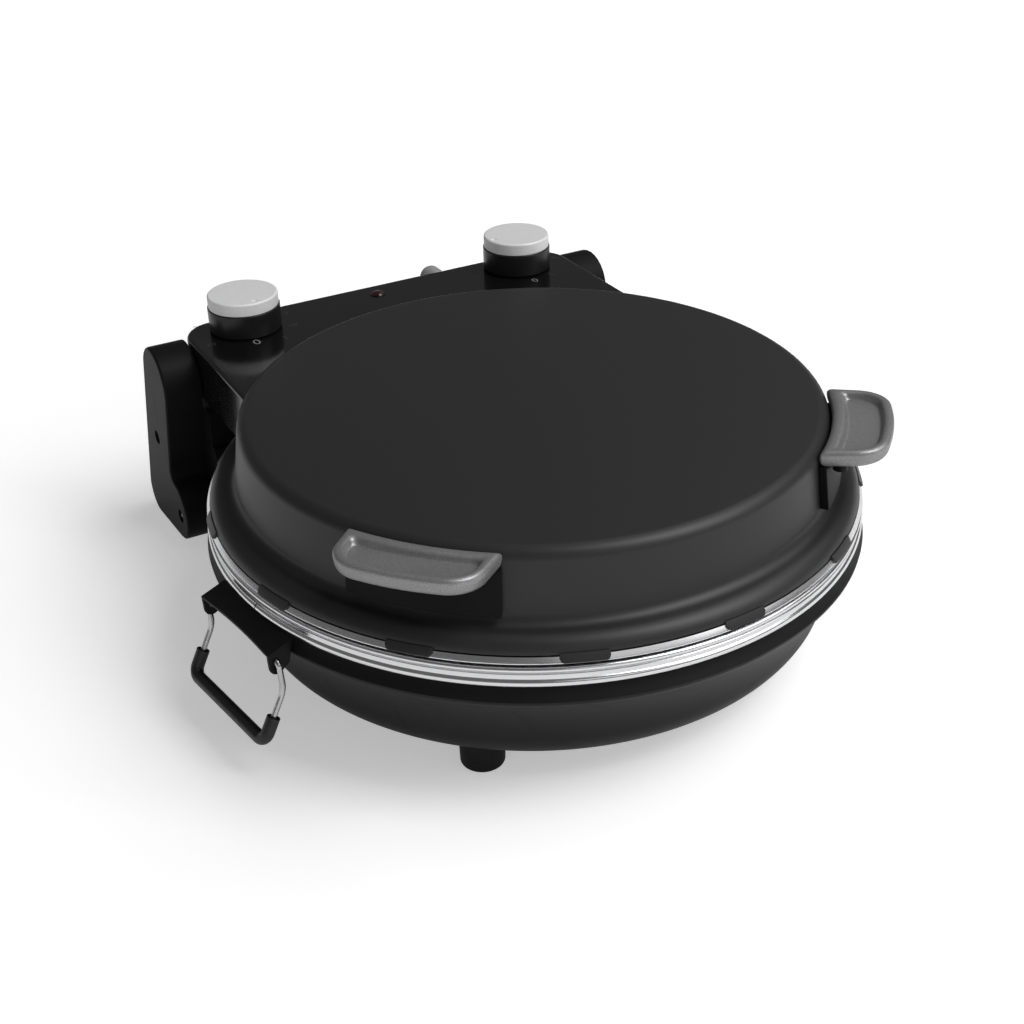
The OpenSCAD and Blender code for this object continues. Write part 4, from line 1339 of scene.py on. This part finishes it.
@dataclass
class Grip:
    """Dished finger grip on the side of the lid, with its stand-off and screw bosses."""

    side: str
    angle: float
    half_width: float = 37.4
    outer: float = 187.0
    nose_radius: float = 150.0
    corner: float = 17.5
    inner: float = 156.15
    top: float = 136.0
    low: float = 127.5
    dish: float = 3.6
    rise: float = 2.2
    narrowing: float = 0.0016
    boss: Point2 = (162.3, 29.5)

    def past_horns(self, u: float) -> float:
        """How far a distance from the lid's axis is past the grip's inner corners."""
        return u - math.sqrt(self.inner ** 2 - self.half_width ** 2)

    def ring(self, inset: float, nook: float, z: float) -> list[Point3]:
        """Outline of the grip at one height; u runs away from the lid's axis and t across.

        Args:
            inset: How far every edge moves inwards.
            nook: Radius of the corners beside the lid.
            z: Height of the ring.

        Returns:
            Points round the outline, the same number for every ring.
        """
        big, small, side = self.nose_radius - inset, self.corner - inset, self.half_width - inset
        base = self.inner + 1.3 * inset
        nose_u = self.outer - self.nose_radius
        corner_t = side - small
        corner_u = nose_u + math.sqrt((big - small) ** 2 - corner_t ** 2)
        turn = math.degrees(math.atan2(corner_t, corner_u - nose_u))
        nook_t = side - nook
        nook_u = math.sqrt((base + nook) ** 2 - nook_t ** 2)
        away = math.degrees(math.atan2(nook_t, nook_u))
        half = (arc((0.0, 0.0), base, 0.4, away - 1.0, 14)
                + arc((nook_u, nook_t), nook, 180 + away, 90, 8)
                + arc((corner_u, corner_t), small, 90, turn, 14)
                + arc((nose_u, 0.0), big, turn * 0.86, turn * 0.14, 6))
        slope = self.rise / self.past_horns(self.outer)
        return [(u, t * (1 - self.narrowing * self.past_horns(u)), z + slope * self.past_horns(u))
                for u, t in half + [(u, -t) for u, t in reversed(half)]]

    def build(self) -> None:
        """Lofts the grip, adds its bosses, and recasts its stand-off."""
        top, low, floor = self.top, self.low, self.top - self.dish
        knots = [(7.2, 2.8, floor), (6.6, 3.0, floor + 0.05), (6.1, 3.2, floor + 0.4),
                 (5.7, 3.2, floor + 1.3), (5.3, 3.0, top - 1.1), (4.6, 2.6, top - 0.3), (3.4, 2.0, top),
                 (1.7, 1.3, top - 0.1), (0.5, 1.0, top - 0.9), (0.0, 1.0, low + 6.0), (0.2, 1.0, low + 3.6),
                 (0.7, 0.9, low + 1.6), (1.5, 0.8, low + 0.4), (2.1, 0.7, low + 0.1), (2.8, 0.6, low)]
        rings = [self.ring(*row) for row in smooth_steps(knots, 4)]
        boss = turned([(0.0, low + 2.2), (3.75, low + 2.2), (3.75, low - 3.35), (3.5, low - 3.6),
                       (2.75, low - 3.6), (2.6, low - 3.45), (2.6, low - 1.0), (0.0, low - 1.0)],
                      Palette.MOULDING, 48)
        bosses = repeated(boss, [(self.boss[0], s * self.boss[1], 0.0) for s in (-1, 1)], [(0, 0, 0)] * 2,
                          Palette.MOULDING)
        turn = facing(self.angle)
        fit(f"grip_{self.side}", placed(lofted(rings), turn), Body.LID, Palette.GREY_LACQUER,
            f"handle_grip_{self.side}", crease=60)
        fit(f"grip_bosses_{self.side}", placed(bosses, turn), Body.LID, Palette.MOULDING, crease=60)
        recast(f"handle_mount_{self.side}", Body.LID, Palette.MOULDING, edge=0.5)


@dataclass
class Bail:
    """Swinging carrying handle: a bent spring wire with a moulded sleeve, in its sheet bracket."""

    side: str
    angle: float
    body: Body
    pivot: float = 182.6
    height: float = 66.0
    half_width: float = 36.0
    ear: float = 6.4
    knee: Point2 = (-1.0, -16.0)
    bar: Point2 = (12.4, -41.0)
    wire: float = 1.5
    ear_bend: float = 2.4
    knee_bend: float = 15.0
    corner_bend: float = 5.2
    sleeve: float = 3.4
    sleeve_start: float = 0.52
    sleeve_edge: float = 0.7

    def leg(self, s: float) -> list[Point3]:
        """Points of one leg: through the ear, down past the bowl, then out to the grip bar."""
        pivot, across = (self.pivot, self.height), s * self.half_width
        path = [pivot, step(pivot, self.knee, 1), step(pivot, self.bar, 1)]
        return [(self.pivot, across - s * self.ear, self.height), *((u, across, z) for u, z in path)]

    def build(self) -> None:
        """Sweeps the wire, moulds the sleeve on it and recasts the bracket."""
        turn = facing(self.angle)
        bends = (self.ear_bend, self.knee_bend, self.corner_bend)
        line = rounded(self.leg(-1) + self.leg(1)[::-1], bends + bends[::-1], 10)
        fit(f"bail_wire_{self.side}_bent", placed(swept(line, self.wire, Palette.WIRE, 20), turn), self.body,
            Palette.WIRE, f"bail_wire_{self.side}", crease=50)
        fit(f"bail_sleeve_{self.side}_moulded", placed(self.sleeve_mesh(), turn), self.body, Palette.SLEEVE,
            f"bail_sleeve_{self.side}", crease=50)
        recast(f"bail_bracket_{self.side}", Body.BASE, Palette.PAINT, edge=0.25)

    def sleeve_mesh(self) -> Mesh:
        """The sleeve, from one leg round to the other, with a turned cap on each end.

        Returns:
            Its mesh, before it is turned to its side of the oven.
        """
        ends = [Vector(leg[2]).lerp(Vector(leg[3]), self.sleeve_start) for leg in (self.leg(-1), self.leg(1))]
        line = rounded([ends[0], self.leg(-1)[3], self.leg(1)[3], ends[1]], (self.corner_bend,) * 2, 14)
        meshes = [swept(line, self.sleeve, Palette.SLEEVE, 28)]
        edge = self.sleeve_edge
        profile = [(0.0, -0.2), (self.sleeve, -0.2), (self.sleeve, 0.0)]
        profile += arc((self.sleeve - edge, 0.0), edge, 0, 90, 5) + [(self.wire, edge), (0.0, edge)]
        for end, out in outward_ends(line):
            matrix = out.to_track_quat("Z", "Y").to_matrix().to_4x4()
            matrix.translation = end - edge * out
            meshes.append(placed(turned(profile, Palette.SLEEVE, 28), matrix))
        return joined(meshes)


@dataclass
class Housing:
    """Control housing behind the lid, with its lamp, cord gland and dial prints."""

    panel: float = 129.0
    rear: float = 203.0
    gland_x: float = 47.0
    gland_z: float = 120.0
    gland_radius: float = 7.3
    gland_length: float = 17.5
    gland_ribs: int = 4
    lamp: Point2 = (-4.0, 187.9)
    knob_x: float = 92.6
    knob_y: float = 182.9
    numeral_size: float = 6.4
    timer_marks: tuple[Mark, ...] = ((-152.5, 30.5, "30"), (-63, 31.0, "5"), (-27.4, 27.5, "10"),
                                     (14, 27.5, "15"), (150, 28.5, "25"))
    thermostat_marks: tuple[Mark, ...] = ((-175, 28.3, "1"), (-63.8, 26.5, "5"), (0, 28.0, "4"))
    print_lift: float = 0.02
    print_thickness: float = 0.01

    def build(self) -> None:
        """Recasts the mouldings and adds the lamp, the gland and the prints."""
        recast("housing_top", Body.LID, Palette.PANEL, edge=0.25, sharp=60)
        recast("housing_base", Body.LID, Palette.MOULDING, edge=0.3)
        self.build_lamp()
        self.build_gland()
        self.build_prints()
        repaint(Palette.PLATED, "timer", "thermostat", "spindle_nuts", "housing_screws")
        repaint(Palette.GREY_MOULDING, "hinge_bush_left", "hinge_bush_right")

    def build_lamp(self) -> None:
        """Turns the lamp's domed lens with its thin bezel step."""
        z = self.panel
        profile = [(0.0, z - 12), (3.4, z - 12), (3.4, z - 3), (3.95, z - 3), (3.95, z + 0.02),
                   (4.7, z + 0.02), (4.7, z + 0.45), (4.55, z + 0.6), (4.0, z + 0.62)]
        profile += [(3.9 * math.cos(math.radians(a)), z + 0.6 + 1.15 * math.sin(math.radians(a)))
                    for a in range(10, 90, 10)] + [(0.0, z + 1.78)]
        lens = placed(turned(profile, Palette.LENS, 64), Matrix.Translation((*self.lamp, 0.0)))
        fit("lamp_lens", lens, Body.LID, Palette.LENS, "indicator_lamp", crease=30)

    def build_gland(self) -> None:
        """Turns the cord gland with a collar and fine grip ribs."""
        nose, length, groove = self.gland_radius, self.gland_length, self.gland_radius - 0.35
        profile = [(3.6, -8.0), (5.5, -8.0), (6.3, -4.2), (6.3, -2.65), (5.95, -2.65), (5.95, 0.05),
                   (nose, 0.05), (nose, 1.9), (groove, 2.2)]
        for i in range(self.gland_ribs):
            z = 3.2 + 2.4 * i
            profile += [(groove, z), (nose, z + 0.3), (nose, z + 1.2), (groove, z + 1.5)]
        profile += [(nose - 0.1, length - 3.4)] + arc((nose - 3, length - 3), 3, 0, 80, 8) + [(3.6, length)]
        matrix = Matrix.Rotation(math.radians(-90), 4, "X")
        matrix.translation = (self.gland_x, self.rear, self.gland_z)
        fit("cord_gland_ribbed", placed(turned(profile, Palette.GREY_MOULDING, 64), matrix), Body.LID,
            Palette.GREY_MOULDING, "cord_gland", crease=30)

    def numeral(self, knob: float, angle: float, radius: float, text: str, size: float) -> Mesh:
        """A plain numeral printed on the panel beside a knob.

        Args:
            knob: Place of the knob across the panel.
            angle: Direction from the knob to the numeral, in degrees.
            radius: Distance from the knob's axis to the numeral's middle.
            text: The numeral.
            size: Its height.

        Returns:
            A thin flat mesh, in place.
        """
        curve = bpy.data.curves.new("numeral", "FONT")
        curve.body = text
        curve.size = size * MM
        curve.align_x = "CENTER"
        curve.align_y = "CENTER"
        curve.extrude = self.print_thickness * MM
        curve.resolution_u = 3
        holder = bpy.data.objects.new("numeral", curve)
        mesh = plain_mesh(holder)
        bpy.data.objects.remove(holder)
        place = (*step((knob, self.knob_y), ray(angle), radius), self.panel + self.print_lift)
        return placed(mesh, Matrix.Translation(place))

    def build_prints(self) -> None:
        """Prints the numerals and the zero marks round both knobs."""
        faint = [self.numeral(x, *mark, self.numeral_size)
                 for x, marks in ((-self.knob_x, self.timer_marks), (self.knob_x, self.thermostat_marks))
                 for mark in marks]
        fit("dial_numerals", joined(faint), Body.LID, Palette.PRINT, crease=30)
        bright = [self.numeral(-self.knob_x, -95.7, 24.9, "0", 9.5),
                  self.numeral(self.knob_x, -94.0, 27.6, "0", 8.0)]
        fit("dial_zero_marks", joined(bright), Body.LID, Palette.BRIGHT_PRINT, crease=30)


@dataclass
class Knob:
    """Rotary knob: a dark skirt, a pale cap with a pointer dimple, and its shaft."""

    side: str
    x: float
    body: Body
    y: float = 182.9
    radius: float = 21.4
    low: float = 129.8
    skirt: float = 13.9

    def build(self) -> None:
        """Turns the skirt and recasts the cap."""
        r, z, top = self.radius, self.low, self.low + self.skirt
        profile = [(3.0, z + 2.6), (5.6, z + 2.6), (5.6, top - 2.4), (r - 2.2, top - 2.4), (r - 2.0, z + 0.2),
                   (r - 1.8, z), (r - 0.4, z)] + arc((r - 0.4, z + 0.4), 0.4, 270, 360, 4)
        profile += arc((r - 0.5, top - 0.5), 0.5, 0, 90, 5) + [(r - 1.2, top), (3.0, top)]
        skirt = placed(turned(profile, Palette.SKIRT, 160), Matrix.Translation((self.x, self.y, 0.0)))
        fit(f"knob_skirt_{self.side}_turned", skirt, self.body, Palette.SKIRT, f"knob_skirt_{self.side}")
        recast(f"knob_cap_{self.side}", self.body, Palette.PALE_LACQUER, edge=0.15, sharp=60, crease=40)
        repaint(Palette.PLATED, f"knob_shaft_{self.side}")


@dataclass
class Supports:
    """Hinge arms, rear beam, feet and all their screws."""

    foot_radius: float = 11.8
    foot_pitch: float = 135.6
    foot_angle: float = 40.9
    foot_screw_seat: float = 6.9
    arm_outer: float = 151.5
    arm_inner: float = 129.0
    arm_screws: tuple[Point2, ...] = ((200.0, 63.0), (172.0, 21.0))
    arm_screw_depth: float = 4.5
    cover_screws: tuple[Point2, ...] = ((106.0, 171.0), (106.0, 192.0))
    cover_screw_depth: float = 2.1
    beam_low: float = 14.0
    beam_top: float = 68.0
    hinge: Point2 = (187.0, 106.0)
    saddle_width: float = 21.0
    saddle_hollow: float = 20.5
    saddle_front: float = 27.0
    saddle_back: float = 20.0

    def foot_places(self, height: float) -> list[Point3]:
        """Places of the feet.

        Args:
            height: Height above the table.

        Returns:
            A place on the axis of each foot.
        """
        angles = (self.foot_angle, 180 - self.foot_angle, 180 + self.foot_angle, -self.foot_angle)
        return [(-self.foot_pitch * math.sin(math.radians(a)), -self.foot_pitch * math.cos(math.radians(a)),
                 height) for a in angles]

    def build(self) -> None:
        """Recasts the mouldings and sets the saddles, the feet and the screws."""
        for node, edge in (("arm_left", 0.3), ("arm_right", 0.3), ("arm_cover_left", 0.4),
                           ("arm_cover_right", 0.4), ("rear_housing", 0.4), ("rear_cover", 0.4)):
            recast(node, Body.BASE, Palette.MOULDING, edge=edge, sharp=55)
        self.build_saddles()
        self.build_feet()
        self.build_screws()
        repaint(Palette.CERAMIC, "terminal_block")
        repaint(Palette.PLATED, "hinge_pin_left", "hinge_pin_right", "handle_screws")

    def build_saddles(self) -> None:
        """Lofts the raised ends of the beam, hollowed so that the housing swings clear above them."""
        y, z = self.hinge
        front, back = y - self.saddle_front, y + self.saddle_back
        low, wide = self.beam_top - 4, self.saddle_width
        meshes = []
        for s in (-1, 1):
            rings = []
            for across, inset in ((0.0, 0.0), (wide - 2.4, 0.0), (wide - 0.7, 0.7), (wide, 2.4)):
                outline = [(front + inset, low), *arc((front + 4, z - 19.2), 4 - inset, 180, 90, 6),
                           *arc((y, z), self.saddle_hollow + inset, 228, 270, 8),
                           *arc((back - 3, z - 25.5), 3 - inset, 80, 0, 6), (back - inset, low)]
                rings.append([(s * (self.arm_inner - across), q[0], q[1]) for q in outline])
            meshes.append(lofted(rings))
        fit("beam_saddles", joined(meshes), Body.BASE, Palette.MOULDING, crease=40)

    def build_feet(self) -> None:
        """Turns one foot and repeats it under the bowl."""
        r = self.foot_radius
        profile = [(4.4, 0.3), (4.7, 0.0), (r - 2.1, 0.0)] + arc((r - 2.1, 1.6), 1.6, 270, 357, 8)
        profile += [(r - 0.1, 15.2), (r - 0.3, 16.9), (2.3, 16.9), (2.3, 7.0), (4.4, 7.0)]
        feet = repeated(turned(profile, Palette.RUBBER, 96), self.foot_places(0.0), [(0, 0, 0)] * 4,
                        Palette.RUBBER)
        fit("rubber_feet", feet, Body.BASE, Palette.RUBBER, "feet")

    def build_screws(self) -> None:
        """Sets the cross-recess screws of the arms, the rear cover and the feet."""
        seat = self.arm_outer - self.arm_screw_depth
        arm = [(s * seat, y, z) for s in (-1, 1) for y, z in self.arm_screws]
        arm_turns = [(20.0 + 31.0 * i, s * 90.0, 0.0) for i, s in enumerate((-1, -1, 1, 1))]
        low = self.beam_low - self.cover_screw_depth
        cover = [(s * x, y, low) for s in (-1, 1) for x, y in self.cover_screws]
        for name, head, places, turns, node in (
                ("arm_screw_heads", ScrewHead(), arm, arm_turns, "arm_screws"),
                ("rear_cover_screw_heads", ScrewHead(radius=3.2, height=1.8), cover,
                 [(180.0, 0.0, 17.0 * i) for i in range(4)], "rear_cover_screws"),
                ("foot_screw_heads", ScrewHead(radius=3.9), self.foot_places(self.foot_screw_seat),
                 [(180.0, 0.0, 23.0 * i) for i in range(4)], "foot_screws")):
            heads = repeated(head.unit(), places, turns, Palette.PLATED)
            fit(name, heads, Body.BASE, Palette.PLATED, node, crease=30)


# Studio


def outward(azimuth: float, elevation: float) -> Vector:
    """Direction away from the oven, its azimuth counted in degrees from the front to the right."""
    az, el = math.radians(azimuth), math.radians(elevation)
    return Vector((math.sin(az) * math.cos(el), -math.cos(az) * math.cos(el), math.sin(el)))


def spun(first: Vector, second: Vector, angle: float) -> tuple[Vector, Vector]:
    """Two directions at right angles, turned in their plane from the first to the second, in degrees."""
    along, across = ray(angle)
    return first * along + second * across, second * along - first * across


@dataclass
class Softbox:
    """A rectangular lamp that looks at the oven; sizes and distances in metres, power in watts."""

    name: str
    azimuth: float
    elevation: float
    width: float
    height: float
    power: float
    mirrored: bool = True
    distance: ClassVar[float] = 4.0
    aim: ClassVar[Point3] = (0.0, 0.0, 0.1)

    def build(self) -> None:
        """Adds the lamp to the scene; one that isn't mirrored lights surfaces but shows in none."""
        light = bpy.data.lights.new(self.name, "AREA")
        light.shape = "RECTANGLE"
        light.size = self.width
        light.size_y = self.height
        light.energy = self.power
        away = self.distance * outward(self.azimuth, self.elevation)
        lamp = bpy.data.objects.new(self.name, light)
        lamp.location = Vector(self.aim) + away
        lamp.visible_glossy = self.mirrored
        lamp.rotation_euler = (-away).to_track_quat("-Z", "Y").to_euler()
        bpy.context.scene.collection.objects.link(lamp)


@dataclass
class Studio:
    """Pale floor, soft lights and the camera at the photograph's viewing angle."""

    focal: float = 53.47
    film_width: float = 36.0
    azimuth: float = -29.23
    elevation: float = 29.79
    distance: float = 835.6
    yaw: float = -0.823
    pitch: float = -0.609
    roll: float = -0.953
    aim: Point3 = (0.0, 0.0, 75.0)
    world_level: float = 0.08
    world_mirrored: float = 0.06
    floor_half: float = 12000.0
    floor_low: float = -0.4
    # Floor glow next to the oven, kept low: painted shade round the oven; the far glow paints the distant
    # floor white.
    near_glow_painted_shade: float = 0.40
    far_glow: float = 1.0
    glow_reach: Point2 = (0.25, 1.6)
    mirrored_glow: float = 0.45
    lights: Sequence[Softbox] = (
        Softbox("key_softbox", 40.0, 54.0, 1.66, 2.29, 83.0),
        Softbox("side_softbox", 80.0, 54.0, 1.66, 2.29, 25.0),
        Softbox("back_softbox", 120.0, 54.0, 1.66, 2.29, 12.5),
        Softbox("low_softbox", 40.0, 28.0, 2.55, 1.41, 18.0),
        Softbox("front_softbox", 0.0, 28.0, 2.55, 1.41, 7.0),
        Softbox("fill_softbox", -38.0, 13.0, 3.6, 1.6, 30.0, mirrored=False))

    def build_camera(self) -> None:
        """Places the camera from its measured orbit, with its small turns applied in order."""
        back = outward(self.azimuth, self.elevation)
        ahead = -back
        right = ahead.cross(Vector((0, 0, 1))).normalized()
        up = right.cross(ahead)
        ahead, right = spun(ahead, right, self.yaw)
        ahead, up = spun(ahead, up, self.pitch)
        right, up = spun(right, up, self.roll)
        matrix = Matrix((right, up, -ahead)).transposed().to_4x4()
        matrix.translation = (Vector(self.aim) + self.distance * back) * MM
        data = bpy.data.cameras.new("photo_camera")
        data.sensor_width = self.film_width
        data.lens = self.focal
        data.clip_end = 50.0
        camera = bpy.data.objects.new("photo_camera", data)
        bpy.context.scene.collection.objects.link(camera)
        camera.matrix_world = matrix
        bpy.context.scene.camera = camera

    @staticmethod
    def seen(net: Wiring, share: float) -> Socket:
        """Strength that the camera and mirrors see.

        Args:
            net: Wiring of the tree.
            share: How much of it shows in mirrors and through glass.

        Returns:
            One where the camera looks, the share in mirrors and glass, and nothing elsewhere.
        """
        path = net.add("ShaderNodeLightPath").outputs
        mirrored = net.maths("ADD", path["Is Glossy Ray"], path["Is Transmission Ray"])
        return net.maths("MULTIPLY_ADD", mirrored, share, path["Is Camera Ray"])

    def build_floor(self) -> None:
        """Lays the pale floor, which glows for the camera and in reflections only; the glow is painted light,
        weakest near the oven so that a painted shade stays round it, and strongest far away.
        """
        material = bpy.data.materials.new("studio_floor")
        material.use_nodes = True
        material.node_tree.nodes.clear()
        net = Wiring(material.node_tree)
        matt = net.add("ShaderNodeBsdfDiffuse", {"Color": (0.9, 0.9, 0.9, 1.0)})
        away = net.add("ShaderNodeVectorMath", {0: net.place()}, operation="LENGTH").outputs["Value"]
        # Glow grows with distance from the oven: painted shade near it, painted light that whitens the far
        # floor.
        level = net.ramp(away, *self.glow_reach, self.near_glow_painted_shade, self.far_glow, curve="SMOOTHSTEP")
        strength = net.maths("MULTIPLY", self.seen(net, self.mirrored_glow), level)
        glow = net.add("ShaderNodeEmission", {"Strength": strength})
        both = net.add("ShaderNodeAddShader", {0: matt.outputs[0], 1: glow.outputs[0]})
        net.add("ShaderNodeOutputMaterial", {"Surface": both.outputs[0]})
        corners = ((-1, -1), (1, -1), (1, 1), (-1, 1))
        mesh = mesh_from([(self.floor_half * x, self.floor_half * y, self.floor_low) for x, y in corners],
                         [(0, 1, 2, 3)])
        mesh.materials.append(material)
        floor = bpy.data.objects.new("studio_floor", mesh)
        bpy.context.scene.collection.objects.link(floor)

    def build_world(self) -> None:
        """Makes a dim world that is white to the camera."""
        world = bpy.data.worlds.new("studio_world")
        bpy.context.scene.world = world
        world.use_nodes = True
        background = world.node_tree.nodes["Background"]
        background.inputs["Color"].default_value = (1.0, 1.0, 1.0, 1.0)
        net = Wiring(world.node_tree)
        shown = self.seen(net, self.world_mirrored)
        strength = net.maths("MULTIPLY_ADD", shown, 1 - self.world_level, self.world_level)
        net.link(strength, background.inputs["Strength"])

    def build(self) -> None:
        """Builds the world, the floor, the lights and the camera."""
        bpy.context.scene.view_settings.view_transform = "Standard"
        self.build_world()
        self.build_camera()
        self.build_floor()
        for light in self.lights:
            light.build()
        LOG.info("studio: %d lights, world level %.2f", len(self.lights), self.world_level)


def main() -> None:
    """Builds the studio and every sub-assembly, and reports each piece."""
    logging.basicConfig(level=logging.INFO, format="%(name)s: %(message)s")
    for part in (Studio(), Lid(), Base(), Heaters(), Supports(), Housing(),
                 Grip("left", 48.2), Grip("right", -48.2),
                 Knob("left", -92.6, Body.KNOB_LEFT), Knob("right", 92.6, Body.KNOB_RIGHT),
                 Bail("left", 81.4, Body.BAIL_LEFT), Bail("right", 261.4, Body.BAIL_RIGHT)):
        part.build()


if __name__ == "__main__":
    main()
